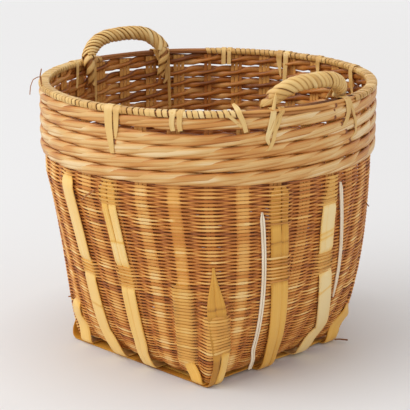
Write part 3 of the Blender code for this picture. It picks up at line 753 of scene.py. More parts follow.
def build_strays():
    strays = Strands()
    for radius, tone, knots in STRAYS:
        made = evenly(placed(knots), 0.001, 3)
        strays.sweep(made, flat_across(made) + 0.001, radius, radius, sides=6, tone=tone)
    strays.build("stray_ends", BROWN_CANE)


# Stakes and the base mat

STRIP_SHIFTS = (-0.00575, 0.0, 0.00575)
STRIP_W = 0.0052
WALL_STEPS = 34
MAT_STEPS = 37
# How much wider a stake's strips spread across the base
BASE_SPREAD = 1.42
CORNER_SHIFT = 0.0029
CORNER_FOOT_RISE = 0.1
# The rise where corner stakes begin to narrow downwards, and their least share of the width
CORNER_NARROWS = (0.4, 0.45)
# Between splints that cross
MAT_GAP = 0.0003


def strip_run(along_y, number, shift):
    """The middle line, side directions and half width of one narrow splint of a stake.

    It runs down a wall, across the base and up the far wall.
    """
    near = 3 * STAKES_PER_SIDE + (number if along_y else -number)
    far = 2 * STAKES_PER_SIDE - number if along_y else number
    way = np.array(laid(along_y, 1.0, 0.0, 0.0))
    walls = []
    for k in (near, far):
        middle, around, _ = wall_frame(k, np.linspace(rise_at(k, BAND_TOP), 0, WALL_STEPS))
        around = towards(around, way)
        walls.append((middle + around * shift, around))
    across = -BASE_HALF + BASE_PITCH * number + shift * BASE_SPREAD
    level = (SPLINT_T + MAT_GAP) / 2
    base = []
    for k in range(1, STAKES_PER_SIDE):
        z = MAT_HEIGHT + level * (-1 if (number + k + along_y) % 2 else 1)
        base.append(laid(along_y, across, -BASE_HALF + BASE_PITCH * k, z))
    base = spline(base, np.linspace(0, len(base) - 1, MAT_STEPS))
    spread = np.repeat([1, BASE_SPREAD, 1], [WALL_STEPS, MAT_STEPS, WALL_STEPS])
    return *through_base(walls[0], base, walls[1], way), STRIP_W / 2 * spread


def build_splints():
    for family in "xy":
        strips = Strands()
        for number in range(1, STAKES_PER_SIDE):
            for shift in STRIP_SHIFTS:
                line, sides, half = strip_run(family == "y", number, shift)
                strips.sweep(line, sides, half, SPLINT_T / 2, box=0.5, tone=rng.normal(0.90, 0.10))
        nodes = [f"splint_{family}{n}" for n in range(1, STAKES_PER_SIDE)]
        strips.build(f"splints_{family}", SPLINT, *nodes)
    strips = Strands()
    narrow_from, least = CORNER_NARROWS
    for corner in range(4):
        k = corner * STAKES_PER_SIDE
        rise = np.linspace(rise_at(k, BAND_TOP), CORNER_FOOT_RISE, WALL_STEPS)
        middle, around, _ = wall_frame(k, rise)
        narrow = np.clip(rise / narrow_from, least, 1)
        for shift in STRIP_SHIFTS[:2]:
            line = middle + around * ((shift + CORNER_SHIFT) * narrow)[:, None]
            tone = rng.normal(0.5, 0.1)
            strips.sweep(line, around, STRIP_W / 2 * narrow, SPLINT_T / 2, box=0.5, tone=tone)
    strips.build("corner_stakes", SPLINT, *(f"corner_stake_{n}" for n in range(1, 5)))


# Wale: in each round four broad canes, a stake apart, each pass outside three stakes and inside one.
# Outside they rise slowly and overlap like tiles, and inside they fall back.

WALE_RODS = 4
# Out from the wall's middle and up from the round's, at each half stake of a cane's pass
WALE_OUT = (0.0012, 0.0042, 0.0052, 0.0056, 0.0060, 0.0062, 0.0026, -0.0054, 0.0012)
WALE_UP = (-0.0042, -0.0040, -0.0024, -0.0002, 0.0020, 0.0038, 0.0043, 0.0002, -0.0042)
WALE_HALF_H = 0.0050
WALE_HALF_T = 0.0027
WALE_STEPS = 6
WALE_INSIDE_AT = 0.004
WALE_INSIDE_FLATTER = 0.36
# How dark the painted shade on a cane's edges and back is
WALE_EDGE_SHADE = 0.46
WALE_BACK_SHADE = 0.32
ROUND_LIFTS = (0.0, 0.0002, -0.0003, -0.0006, 0.0009)
# How much flatter the canes are on the side away from the photo's camera, where light shows between
FAR_FLATTER = 0.15
# A stretch at the front left where the top two rounds stand apart: its middle, half its length, and
# for each of these rounds its lift and how much flatter it is
APART_AT = 31.3
APART_REACH = 2.6
APART = {4: (-0.0016, 0.08), 5: (0.0010, 0.20)}


def build_wale():
    u = np.arange(STAKES * WALE_STEPS) / WALE_STEPS
    share = u / STAKES
    far = (1 - np.cos(2 * math.pi * share)) / 2
    stretch = np.exp(-((stakes_from(u, APART_AT) / APART_REACH) ** 4))
    for number, lift in enumerate(ROUND_LIFTS, start=1):
        apart_lift, apart_flatter = (value * stretch for value in APART.get(number, (0, 0)))
        z = BAND_BOTTOM + (number - 0.5) * WALE_PITCH + lift
        rods = Strands()
        for rod in range(WALE_RODS):
            phase = (u + 0.5 + rod) % WALE_RODS * 2
            out = spline(WALE_OUT, phase) + 0.0003 * drift(share, 30)
            up = spline(WALE_UP, phase) + 0.0005 * drift(share, 14) + 0.0002 * drift(share, 60)
            inside = np.clip(-out / WALE_INSIDE_AT, 0, 1)
            line = ring_point(azimuth(u), WALL_R + out, z + up + apart_lift)
            height = WALE_HALF_H * (1 + 0.10 * drift(share, 22)) * (1 - WALE_INSIDE_FLATTER * inside)
            height = height * (1 - FAR_FLATTER * far) * (1 - apart_flatter)
            # Darker where a cane passes inside the wall, partly the canes' own browner inside and partly
            # painted shade; painted shade on its edges and back
            tone = 0.78 + 0.18 * drift(share, 10) + 0.18 * drift(share, 48) - 0.20 * inside
            tone = shaded(tone, 12, WALE_EDGE_SHADE, WALE_BACK_SHADE)
            rods.sweep(line, UP, height, WALE_HALF_T, sides=12, closed=True, tone=tone, box=0.85)
        rods.build(f"wale_rods_{number}", WALE_CANE, f"wale_outer_{number}", f"wale_inner_{number}")


# Where a cane of the wale begins, with its cut end in view, as (degrees, depth below the rim's top)
CANE_ENDS = (
    (-74.6, 0.017), (-75.4, 0.029), (-76.2, 0.046), (0.4, 0.006), (-0.5, 0.012),
    (0.1, 0.021), (3.7, 0.033), (5.6, 0.020), (6.2, 0.044), (8.4, 0.058),
)
CANE_END_SPAN = 9.0
CANE_END_OUT = WALL_R + 0.0066
CANE_END_HALF = 0.0034
# How far in and down the cane has gone at its far end, and how much thinner it is there
CANE_END_IN = 0.0030
CANE_END_DOWN = 0.0012
CANE_END_THINNER = 0.25


def build_cane_ends():
    ends = Strands()
    share = np.linspace(0, 1, 16)
    for degrees, depth in CANE_ENDS:
        way = 1 if degrees < -45 else -1
        angle = np.radians(degrees + way * CANE_END_SPAN * share)
        z = RIM_TOP - depth - CANE_END_DOWN * share
        line = ring_point(angle, CANE_END_OUT - CANE_END_IN * share, z)
        tone = np.where(share < 0.08, -0.1, 0.62 + 0.2 * wander(share, 4))
        half = CANE_END_HALF * (1 - CANE_END_THINNER * share)
        # Painted shade on the canes' edges
        ends.sweep(line, UP, half, half * 0.8, sides=10, tone=shaded(tone, 10, 0.15))
    ends.build("wale_cane_ends", WALE_CANE)


# Rim

HOOP_R = 0.0034
# The stakes where each binding starts and ends, and how much darker it is
BINDINGS = {"front": (20, 33, 0.0), "back": (5, 16, 0.16)}
BINDING_PITCH = 0.0076
BINDING_HALF_W = 0.0032
BINDING_T = 0.0010
BINDING_STEPS = 20
RIM_BOX = 0.62
RIM_STEPS = 8
# (up from the hoop's middle, out from it, radius)
RIM_CANES = ((0.0014, 0.0, 0.0019), (-0.0014, 0.0004, 0.0019), (0.0, -0.0014, 0.0016))
RIM_WANDER = 0.0003
# Where the rim is bare its canes lie further out and apart, and are thicker and paler
BARE_OUT = 0.0012
BARE_APART = 0.7
BARE_THICKER = 0.15
BARE_PALER = 0.40


def squared(value, half):
    """Half a width times a cosine or sine, whose ends are squared."""
    return half * np.sign(value) * np.abs(value) ** RIM_BOX


def build_rim():
    u = np.arange(STAKES * RIM_STEPS) / RIM_STEPS
    share = u / STAKES
    bare_start, bare_end = BINDINGS["front"][1], BINDINGS["back"][0]
    bare = np.minimum(u + STAKES - bare_start + 0.5, bare_end - u + 0.5)
    bare = eased(np.maximum(bare, u - bare_start + 0.5))
    for name, side in (("outer", 1), ("inner", -1)):
        hoop = Strands()
        for lift, depth, radius in RIM_CANES:
            out = side * (HOOP_R + depth + BARE_OUT * bare)
            r = RIM_R + out + RIM_WANDER * drift(share, 30)
            z = RIM_Z + lift * (1 + BARE_APART * bare) + RIM_WANDER * drift(share, 30)
            # The inner hoop's canes are darker, partly their own browner inside and partly painted
            # shade; painted shade on the outer canes' backs and on all their edges
            tone = 0.50 + 0.25 * drift(share, 16) + (BARE_PALER * bare if side > 0 else -0.15)
            tone = shaded(tone, 8, 0.1, 0.3 if side > 0 else 0)
            radius = radius * (1 + BARE_THICKER * bare)
            hoop.sweep(ring_point(azimuth(u), r, z), UP, radius, radius, closed=True, tone=tone)
        hoop.build(f"rim_canes_{name}", BROWN_CANE, f"rim_hoop_{name}")
    for name, (first, last, darker) in BINDINGS.items():
        start, end = azimuth(first), azimuth(last)
        turns = round((end - start) * RIM_R / BINDING_PITCH)
        turn = np.arange(turns * BINDING_STEPS + 1) / BINDING_STEPS
        share = turn / turns
        theta = -2 * math.pi * turn + 0.9
        around = start + (end - start) * turn / turns
        around = around + 0.0009 * wander(share, turns) / RIM_R
        lift = 0.00025 * wander(share, turns * 2) - BINDING_T / 2
        x, z = squared(np.cos(theta), RIM_W / 2 + lift), squared(np.sin(theta), RIM_H / 2 + lift)
        along = np.stack([-np.sin(around), np.cos(around), 0 * around], 1)
        tone = 0.66 - darker + 0.14 * wander(share, turns)
        tone = tone + 0.08 * wander(share, 9)
        half = BINDING_HALF_W * (1 + 0.10 * wander(share, turns))
        wrap = Strands()
        line = ring_point(around, RIM_R + x, RIM_Z + z)
        wrap.sweep(line, along, half, BINDING_T / 2, box=0.6, tone=tone)
        wrap.build(f"rim_wrap_{name}", SPLIT_CANE, f"rim_binding_{name}")


# Ties over the rim. A strip is its tone, its knots outside from the tip up, and its knots inside
# from the rim down, or None for a loose tip on the rim. A knot is its degrees round the rim, its
# depth below the rim's top and its width, both in millimetres.

STRAP_T = 0.0010
STRAP_STEP = 0.0016
STRAP_OUT = WALL_R + 0.0097
STRAP_IN_RIM = RIM_R - RIM_W / 2 - 0.0006
STRAP_IN_BAND = WALL_R - 0.0090
BAND_DEPTH = 13
STRAP_CLEAR = 0.0004
# How far in a strip's tip outside is tucked, and its bends over the rim: in from its run outside,
# out from its run inside, and where that run starts below the rim's top
STRAP_TUCK = 0.0016
STRAP_BENDS = (0.0032, 0.0030, 0.004)
# The knots of a loose tip on the rim: degrees back, distance in, distance up, share of the width
LOOSE_TIP = ((0.6, 0.0, 0.0035, 1.0), (1.4, 0.004, 0.007, 0.5))

STRAPS = {
    "rim_tie_1": (
        (0.72, ((-76.7, 61, 6), (-77, 46, 9), (-77.7, 28, 11.5), (-77.9, 3, 13)), ((-78, 34, 8),)),
        (0.60, ((-75.4, 41, 2.5), (-75, 27, 7), (-74.9, 12, 8.4), (-74.9, 3, 9)), ((-75, 20, 6),)),
    ),
    "rim_tie_2": (
        (0.78, ((-55.9, 25, 6), (-56.4, 15, 6.6), (-56, 3, 7)), ((-55.4, 24, 6),)),
        (0.68, ((-53.6, 25, 6), (-54, 15, 6.6), (-53.6, 3, 7)), ((-53.2, 20, 6),)),
    ),
    "rim_tie_3": (
        (0.72, ((-34.6, 20, 3.5), (-37.2, 10, 4.2), (-39.6, 2, 4.6)), ((-39.6, 20, 4),)),
        (0.76, ((-33.2, 27, 5.6), (-34.2, 13, 6.4), (-35.6, 2, 7.2)), None),
    ),
    "rim_tie_4": (
        (0.6, ((66, 27, 7), (66, 3, 11)), ((65.6, 10, 11), (63.2, 24, 10), (61.6, 40, 6))),
    ),
    "rim_tie_5": ((0.62, ((88, 21, 6), (88, 3, 8)), ((87, 12, 8), (86.2, 22, 5))),),
    "rim_tie_6": (
        (0.62, ((105.6, 27, 5), (105.8, 3, 10)), ((105.6, 12, 9), (104.4, 37, 1.6))),
        (0.68, ((102.6, 23, 6), (102.5, 3, 8)), ((102.6, 12, 8), (102.8, 47, 6))),
    ),
    "rim_tie_7": (
        (0.60, ((128.7, 25, 6), (128.7, 3, 7)), ((128.6, 23, 6.4),)),
        (0.66, ((126.3, 25, 6), (126.3, 3, 6.4)), ((126.4, 23, 6),)),
    ),
    "handle_lashing_1_left": (
        (0.86, ((-25.4, 46, 3), (-26.6, 37, 6), (-25.6, 25, 7.5), (-24.9, 13, 8), (-24.4, 3, 8)),
         ((-24.6, 30, 6),)),
        (0.50, ((-26.3, 37, 1.5), (-25, 26, 5.6), (-23.4, 11, 6), (-21.2, 3, 6)), ((-20.4, 30, 6),)),
        (0.64, ((-27.2, 54, 2), (-25.6, 50, 4), (-24.5, 41, 5), (-23.9, 28, 5), (-22.2, 14, 4),
                (-22, 3, 4)), ((-22, 20, 4),)),
    ),
    "handle_lashing_1_right": (
        (0.66, ((3.3, 38, 5), (5.4, 29, 8), (6.4, 16, 9), (5.6, 3, 9)), ((4.6, 30, 7),)),
        (0.58, ((7.4, 59, 2.4), (11, 49, 4.2), (10.9, 36, 5), (8.8, 17, 5), (6.9, 3, 5)), ((7, 30, 5),)),
    ),
    "handle_lashing_2_left": (
        (0.50, ((151, 47, 6), (151, 3, 7)), ((150.9, 10, 5), (150.5, 88, 4.6))),
        (0.62, ((153, 27, 5), (154, 3, 6)),
         ((154.2, 6, 5.6), (152.2, 28, 5.6), (151.6, 42, 5), (153, 50, 2.5))),
        (0.56, ((156, 20, 6), (156.4, 3, 8)), ((155.6, 4, 9), (154, 15, 10), (153.2, 34, 8))),
    ),
    "handle_lashing_2_right": (
        (0.52, ((-173, 47, 6), (-175.6, 3, 4)), ((-175.8, 8, 4), (-174.9, 70, 4))),
        (0.84, ((-172.6, 20, 6), (-172.8, 3, 8)), ((-172.8, 6, 8), (-172.2, 14, 5))),
        (0.64, ((-174, 20, 6), (-174.6, 3, 5)), ((-174.8, 5, 5), (-173, 14, 6), (-171.4, 22, 2.5))),
        (0.60, ((-174, 20, 6), (-174.4, 3, 4)), ((-174.6, 18, 5), (-173.4, 28, 6), (-170.2, 38, 2.5))),
        (0.70, ((-165, 17, 6), (-165, 3, 7)), ((-165, 10, 6.5), (-163.2, 37, 4.5))),
    ),
}


def strap_line(outside, inside):
    """x, y, z and width along a strip, from its tip outside to its tip inside."""
    top = RIM_TOP + STRAP_T / 2 + STRAP_CLEAR
    bend_out, bend_in, bend_down = STRAP_BENDS
    knots = [(deg, STRAP_OUT, RIM_TOP - depth * MM, width) for deg, depth, width in outside]
    knots[0] = (knots[0][0], STRAP_OUT - STRAP_TUCK, *knots[0][2:])
    deg, _, width = outside[-1]
    knots.append((deg, STRAP_OUT - bend_out, top, width))
    if inside is None:
        for back, inwards, up, share in LOOSE_TIP:
            knots.append((deg - back, RIM_R - inwards, top + up, width * share))
        return placed(knots)
    inner_deg, _, inner_width = inside[0]
    knots.append(((deg + inner_deg) / 2, RIM_R, top + STRAP_CLEAR, (width + inner_width) / 2))
    knots.append((inner_deg, STRAP_IN_RIM + bend_in, top, inner_width))
    knots.append((inner_deg, STRAP_IN_RIM, RIM_TOP - bend_down, inner_width))
    for deg, depth, width in inside:
        radius = STRAP_IN_BAND if depth > BAND_DEPTH else STRAP_IN_RIM
        knots.append((deg, radius, RIM_TOP - depth * MM, width))
    return placed(knots)


def build_straps():
    for node, strips in STRAPS.items():
        straps = Strands()
        for tone, outside, inside in strips:
            made = evenly(strap_line(outside, inside), STRAP_STEP, 5)
            line = made[:, :3]
            tones = tone + 0.08 * wander(np.linspace(0, 1, len(line)), 5)
            straps.sweep(
                line, unit(np.cross(UP, line)), made[:, 3] / 2, STRAP_T / 2,
                sides=10, box=0.55, crown=0.0004, tone=tones,
            )
        straps.build(f"{node}_strips", SPLIT_CANE, node)


# Handles

# (degrees round the rim, half span, rise, share of the first half's length, droop of the second
# half's shoulder, height above the rim where the winding starts, strips wound side by side, turns)
HANDLES = (
    (-7.5, 0.0625, 0.0280, 0.97, 1.0, 0.0085, 5, 3.6),
    (170.8, 0.0690, 0.0300, 0.90, 1.45, 0.0020, 6, 3.3),
)
HANDLE_CORE_R = 0.0068
HANDLE_FOOT_OUT = RIM_R - 0.0245
HANDLE_TOP_OUT = RIM_R - 0.0075
HANDLE_LEG_DEPTH = 0.0480
HALF_HANDLE_STEPS = 50
# From the middle of the arch: share of the half span, distance inwards, distance down
ARCH_KNOTS = ((0.0, 0.0, 0.0), (0.40, 0.0012, 0.0014), (0.70, 0.0045, 0.0066), (0.91, 0.0110, 0.0170))
# Share of the half span, distance inwards, share of the leg's depth, share of the core's radius
LEG_KNOTS = (
    (1.0, 0.0005, -0.03, 0.88), (0.985, 0.0025, 0.25, 0.68), (0.95, 0.0010, 0.50, 0.52),
    (0.90, -0.0012, 1.0, 0.34),
)
WRAP_OVER_CORE = 0.0022
WRAP_T = 0.0011
WRAP_TILT = math.radians(7)
WRAP_CROWDING = 0.07
WRAP_STEPS = 24
# How far the strips stray along the core and out from it, and how their middle is raised
WRAP_UNEVEN = 0.0010
WRAP_LOOSE = 0.0004
WRAP_CROWN = 0.0010
LEG_STRIPS_DOWN = 0.040
LEG_STRIPS_LAP = 0.002
LEG_STRIPS = 2
LEG_TURNS = 1.5


def handle_line(degrees, half_span, rise, squeeze, droop):
    """Points, outward side and radii of a handle's core, from foot to foot."""
    top = RIM_TOP + rise
    half = [(half_span * s, HANDLE_TOP_OUT - i, top - d, HANDLE_CORE_R) for s, i, d in ARCH_KNOTS]
    half += [
        (half_span * s, HANDLE_FOOT_OUT - i, RIM_TOP - HANDLE_LEG_DEPTH * d, HANDLE_CORE_R * r)
        for s, i, d, r in LEG_KNOTS
    ]
    half = spline(half, np.linspace(0, len(half) - 1, HALF_HANDLE_STEPS))
    mirrored = half[::-1] * [-squeeze, 1, 1, 1]
    z = half[:, 2:3]
    drop = (top - z) * (droop - 1) * np.clip(z - RIM_TOP, 0, rise) / rise
    whole = np.vstack([mirrored, (half - drop * [0, 0, 1, 0])[1:]])
    turn = math.radians(degrees)
    along = np.array([-math.sin(turn), math.cos(turn), 0])
    out = np.array([math.cos(turn), math.sin(turn), 0])
    return whole[:, :1] * along + whole[:, 1:2] * out + whole[:, 2:3] * UP, out, whole[:, 3]


def wind(strips, centre, radius, out, starts, turns, crowding=0.0, cover=1.0, tone=0.72):
    """Strips wound side by side round a tube's middle line."""
    length = lengths(centre)
    share = np.linspace(0, 1, round(turns * WRAP_STEPS) + 1)
    at_share = share + crowding * np.sin(math.pi * share)
    slant = math.atan(length[-1] / turns / (2 * math.pi * (radius.mean() + WRAP_OVER_CORE)))
    half = np.gradient(at_share) * length[-1] * WRAP_STEPS / starts * math.cos(slant) / 2 * cover
    often, most = round(turns * 2), round(turns * 3)

    def point(places):
        return np.stack([np.interp(places, length, column) for column in centre.T], 1)

    for start in range(starts):
        uneven = WRAP_UNEVEN * wander(share, often) * np.sin(math.pi * share) ** 0.3
        at = at_share * length[-1] + uneven
        forward = unit(point(at + 0.002) - point(at - 0.002))
        side = unit(out - forward * (forward @ out)[:, None])
        theta = 2 * math.pi * (start / starts + share * turns)
        away = side * np.cos(theta)[:, None] + np.cross(forward, side) * np.sin(theta)[:, None]
        lift = np.interp(at, length, radius) + WRAP_OVER_CORE + WRAP_LOOSE * wander(share, most)
        across = forward * math.cos(WRAP_TILT) + away * math.sin(WRAP_TILT)
        tones = tone + 0.16 * wander(share, often) + rng.normal(0, 0.06)
        # Painted shade on each strip's edges and back
        strips.sweep(
            point(at) + away * lift[:, None], across, half, WRAP_T / 2,
            sides=12, box=0.6, crown=WRAP_CROWN, tone=shaded(tones, 12, 0.40, 0.2),
        )


def build_handles():
    for number, (*arch, wrap_start, wound, turns) in enumerate(HANDLES, start=1):
        line, out, radius = handle_line(*arch)
        core = Strands()
        core.sweep(line, out, radius, radius, sides=14, tone=0.6)
        core.build(f"handle_cane_{number}", BROWN_CANE, f"handle_core_{number}")
        lowest = RIM_TOP + wrap_start
        above = line[:, 2] > lowest
        winding = Strands()
        wind(winding, line[above], radius[above], out, wound, turns, WRAP_CROWDING)
        winding.build(f"handle_winding_{number}", SPLIT_CANE, f"handle_wrap_{number}")
        legs = Strands()
        for leg in np.split(np.arange(len(line)), [len(line) // 2]):
            z = line[leg, 2]
            leg = leg[(z < lowest + LEG_STRIPS_LAP) & (z > RIM_TOP - LEG_STRIPS_DOWN)]
            wind(
                legs, line[leg], radius[leg] - WRAP_OVER_CORE / 2, out, LEG_STRIPS, LEG_TURNS,
                cover=0.75, tone=0.78,
            )
        legs.build(f"handle_leg_strips_{number}", SPLIT_CANE)


# Loose ends of the windings: tone, and knots in (degrees, distance from the axis, height, width in
# millimetres)
LOOSE_ENDS = (
    (0.62, (
        (-13.0, 0.2090, 0.4035, 7), (-15.2, 0.2125, 0.4010, 10), (-19.5, 0.2185, 0.3965, 10),
        (-24.1, 0.2265, 0.3935, 7), (-27.9, 0.2300, 0.3880, 1.5),
    )),
    (0.72, (
        (-15.8, 0.2080, 0.4090, 5), (-18.6, 0.2100, 0.4120, 4.5), (-20.6, 0.2140, 0.4070, 4.5),
        (-23.4, 0.2270, 0.3960, 4.5), (-24.6, 0.2330, 0.3830, 5),
    )),
    (0.50, (
        (9.4, 0.2020, 0.4020, 5), (7.6, 0.2060, 0.3930, 6), (5.2, 0.2050, 0.3850, 6),
        (3.6, 0.2040, 0.3800, 3),
    )),
)


def build_loose_ends():
    ends = Strands()
    for tone, knots in LOOSE_ENDS:
        made = evenly(placed(knots), STRAP_STEP, 4)
        line, half = made[:, :3], made[:, 3] / 2
        ends.sweep(
            line, flat_across(line), half, STRAP_T / 2, sides=10, box=0.6, crown=0.0005, tone=tone
        )
    ends.build("handle_winding_ends", SPLIT_CANE)


# Slats

# From the wall to the base: (out from the base's side, up)
SLAT_BOW = ((0.0235, 0.0250), (0.0175, 0.0110), (0.0125, 0.0030), (0.0060, 0.0))
CORNER_BOW = ((0.0125, 0.0250), (0.0105, 0.0110), (0.0080, 0.0030), (0.0040, 0.0))
CORNER_PLACE = 0.09
# How far along the bow a slat has moved sideways to its place under the base
BOW_SHARES = (0.50, 0.92, 1.0, 1.0)
# For each slat along Y, which slats along X it passes above
SLAT_Y_ABOVE = ((1, 0, 1, 1), (1, 1, 0, 1), (1, 0, 1, 0), (1, 1, 0, 1))
CROSSING_ROOM = 0.006
GAP = 0.0003
# Tone and node heights. A split slat then has the split's place across it, its gap above and below
# a height, that height, and its two sides' tones.
SLAT_LOOKS = {
    "slat_y1": (0.72, (0.11,), None),
    "slat_y2": (0.82, (0.085,), None),
    "slat_y3": (0.80, (0.199,), (-0.1, GAP, -GAP, 0.199, (-0.16, 0.0))),
    "slat_y4": (0.58, (), None),
    "slat_x1": (0.42, (0.118,), (-0.1, -GAP, 0.0010, 0.046, (-0.24, 0.26))),
    "slat_x2": (0.50, (0.205,), (0.2, GAP, -GAP, 0.215, (0.0, -0.06))),
    "slat_x3": (0.90, (0.198, 0.205, 0.113), None),
    "slat_x4": (0.50, (), None),
}
# Painted shade on a slat where the weft passes over it, and where it lies inside the weft
UNDER_WEFT_SHADE = 0.20
BURIED_SHADE = 0.8
RING_REACH = 0.0018
RING_DARKER = 0.30
RING_THICKER = 0.30
SPLIT_RAMP = 0.012


def climb(name, far):
    """A slat up a wall, from its tip down, with its width direction."""
    side, end = slat_end(name, far)
    z = np.linspace(end[2], SLAT_LEAVES_WALL, math.ceil((end[2] - SLAT_LEAVES_WALL) / SLAT_STEP))
    u = slat_u(side, end, z)
    if name in BURIED and not far:
        stake = np.round(np.interp(BURIED[name], z[::-1], u[::-1]))
        u = u + (stake - u) * eased((z - BURIED[name]) / ONTO_STAKE + 0.5)
    middle, around, normal = wall_frame(u, rise_at(u, z))
    offset = SLAT_OVER + (SLAT_UNDER - SLAT_OVER) * covered(name, far, z)
    offset = offset + (SLAT_BURIED - offset) * buried(name, far, z)
    return middle + normal * offset[:, None], around


def bow(name, far, level):
    """A slat round the foot of the wall, from the wall to the base."""
    side, end = slat_end(name, far)
    sign = 1 if side in (0, 3) else -1
    found = []
    for share, (out, z) in zip(BOW_SHARES, CORNER_BOW if abs(end[0]) > CORNER_PLACE else SLAT_BOW):
        place = (end[0] + (SLATS[name][1] - end[0]) * share) * sign
        found.append((*turned(BASE_HALF + out, place, side), level + z))
    return found


def slat_line(name):
    """A slat's middle line and width directions, from its near tip to its far tip."""
    side, across = SLATS[name][:2]
    along_y = side == 3
    number = int(name[-1]) - 1
    base = []
    for i, other in enumerate(s for s in SLATS if s.startswith("slat_x" if along_y else "slat_y")):
        above = SLAT_Y_ABOVE[number][i] if along_y else 1 - SLAT_Y_ABOVE[i][number]
        z = SLAT_T * 1.5 + GAP if above else SLAT_T / 2
        place, zone = SLATS[other][1], SLATS[other][2] + CROSSING_ROOM
        base += [laid(along_y, across, at, z) for at in (place - zone / 2, place + zone / 2)]
    if not along_y:
        base.reverse()
    run = 1 if along_y else 0
    near_bow, far_bow = (
        [p for p in bow(name, far, end[2]) if abs(p[run]) > abs(end[run])]
        for far, end in ((0, base[0]), (1, base[-1]))
    )
    under = np.array([*near_bow, *base, *far_bow[::-1]])
    way = np.array(laid(along_y, 1.0, 0.0, 0.0))
    whole = through_base(climb(name, 0), under, climb(name, 1), way)
    made = evenly(np.hstack(whole), SLAT_STEP, 3)
    return made[:, :3], unit(made[:, 3:])


def build_slats():
    for name, (tone, rings, split) in SLAT_LOOKS.items():
        line, sides = slat_line(name)
        z = line[:, 2]
        length = lengths(line)
        share = length / length[-1]
        near = share < 0.5
        half = np.where(near, slat_half(name, 0, z), slat_half(name, 1, z))
        half = half * (1 + 0.03 * wander(share, 12))
        ring = sum((np.exp(-(((z - at) / RING_REACH) ** 2)) * near for at in rings), 0 * z)
        # Painted shade where the weft covers the slat and where the slat lies inside the weft
        weft_shade = np.where(near, covered(name, 0, z), covered(name, 1, z))
        weft_shade = np.maximum(weft_shade, BURIED_SHADE * buried(name, 0, z) * near)
        tones = tone + 0.12 * wander(share, 9) - RING_DARKER * ring - UNDER_WEFT_SHADE * weft_shade
        spans = [(-1.0, 1.0, 0.0, 0.0)]
        if split:
            place, above, below, height, (left_tone, right_tone) = split
            upper = eased((z - height) / SPLIT_RAMP + 0.5)
            gap = np.where(near, below + (above - below) * upper, -GAP)
            own = (upper if above > 0 else 1 - upper) * near
            spans = [(-1.0, place, gap, left_tone * own), (place, 1.0, gap, right_tone * own)]
        slat = Strands()
        for low, high, gap, own_tone in spans:
            left, right = half * low + (gap if low > -1 else 0), half * high - (gap if high < 1 else 0)
            # Painted shade on the slat's edges
            slat.sweep(
                line + sides * ((left + right) / 2)[:, None], sides, (right - left) / 2,
                SLAT_T / 2 * (1 + RING_THICKER * ring), sides=12, box=0.45, crown=0.0005,
                tone=shaded(tones + own_tone, 12, 0.12),
            )
        slat.build(f"{name}_bamboo", SLAT, name)


# (end as a slat's, lowest height on the wall, tucked under the base or not)
THIN_CANES = {
    "thin_cane_1": ((-0.068, 1.55, 0.250, 0.0), SLAT_LEAVES_WALL, True),
    "thin_cane_2": ((0.0593, 4.38, 0.272, -0.05), 0.094, False),
}
THIN_CANE_W = 0.0064
THIN_CANE_T = 0.0026
THIN_CANE_STEPS = 80
# Out from the weft
THIN_CANE_STAND_OFF = 0.0004
# Distance out from the base's side at which a tucked cane goes out of sight
THIN_CANE_TUCK = 0.0130


def build_thin_canes():
    for name, (end, lowest, tucked) in THIN_CANES.items():
        z = np.linspace(end[2], lowest, THIN_CANE_STEPS)
        u = slat_u(0, end, z)
        line, sides, normal = wall_frame(u, rise_at(u, z))
        line = line + normal * (SPLINT_T / 2 + STRAND_T + THIN_CANE_STAND_OFF + THIN_CANE_T / 2)
        if tucked:
            seen = [knot for knot in SLAT_BOW if knot[0] > THIN_CANE_TUCK]
            foot = [(BASE_HALF + out, end[0], THIN_CANE_T / 2 + up) for out, up in seen]
            line = np.vstack([line, foot])
            sides = np.vstack([sides, np.broadcast_to([0, 1.0, 0], (len(foot), 3))])
        made = evenly(np.hstack([line, sides]), SLAT_STEP, 4)
        line, sides = made[:, :3], made[:, 3:]
        share = np.linspace(0, 1, len(made))
        narrow = 0.45 + 0.55 * eased(share * 20)
        if not tucked:
            narrow = narrow * (0.35 + 0.65 * eased((1 - share) * 6))
        half = THIN_CANE_W * 0.25 * narrow
        cane = Strands()
        for side in (-1, 1):
            tone = 0.85 + 0.12 * wander(share, 8)
            seam = np.cos(section_angles(10)) * side < -0.9
            cane.sweep(
                line + sides * (side * half)[:, None], sides, half, THIN_CANE_T / 2,
                sides=10, box=0.8, tone=tone[:, None] - 0.9 * seam,
            )
        cane.build(f"{name}_split", THIN, name)


build_fine_weft()
build_base_rows()
build_splints()
build_wale()
build_cane_ends()
build_rim()
build_straps()
build_handles()
build_loose_ends()
build_slats()
build_thin_canes()
build_strays()


# Floor, light and camera

# Just below the slats' rounded undersides
FLOOR_Z = -0.0006
FLOOR_COLOUR = (0.735, 0.728, 0.728, 1)
# Painted light: an emission seen by the camera alone makes the floor paler away from the basket, with
# distance and to the right
FLOOR_PAINTED_LIGHT = 0.105
FLOOR_PAINTED_LIGHT_FAR = 0.046
FLOOR_PAINTED_LIGHT_RIGHT = 0.012
PAINTED_LIGHT_STARTS = 0.19
PAINTED_LIGHT_WHOLE = 0.34
# (place, size, power)
LIGHTS = {"key": ((-1.1, -2.4, 2.8), 4.2, 80), "fill": ((2.4, 0.6, 1.6), 1.8, 4)}
LIT_POINT = Vector((0, 0, 0.2))
WORLD_LIGHT = 0.68
# The photo's camera: on the diagonal between the -Y and +X sides
CAMERA_DISTANCE = 2.172
CAMERA_HEIGHT = 0.806
CAMERA_PITCH = math.radians(15.61)
CAMERA_LEFT = 0.004
FOCAL_WIDTHS = 1600 / 410


def on_diagonal(x, y, z):
    """A vector given across and along the camera's plan direction, in the basket's frame."""
    return Vector(((x - y) / math.sqrt(2), (x + y) / math.sqrt(2), z))


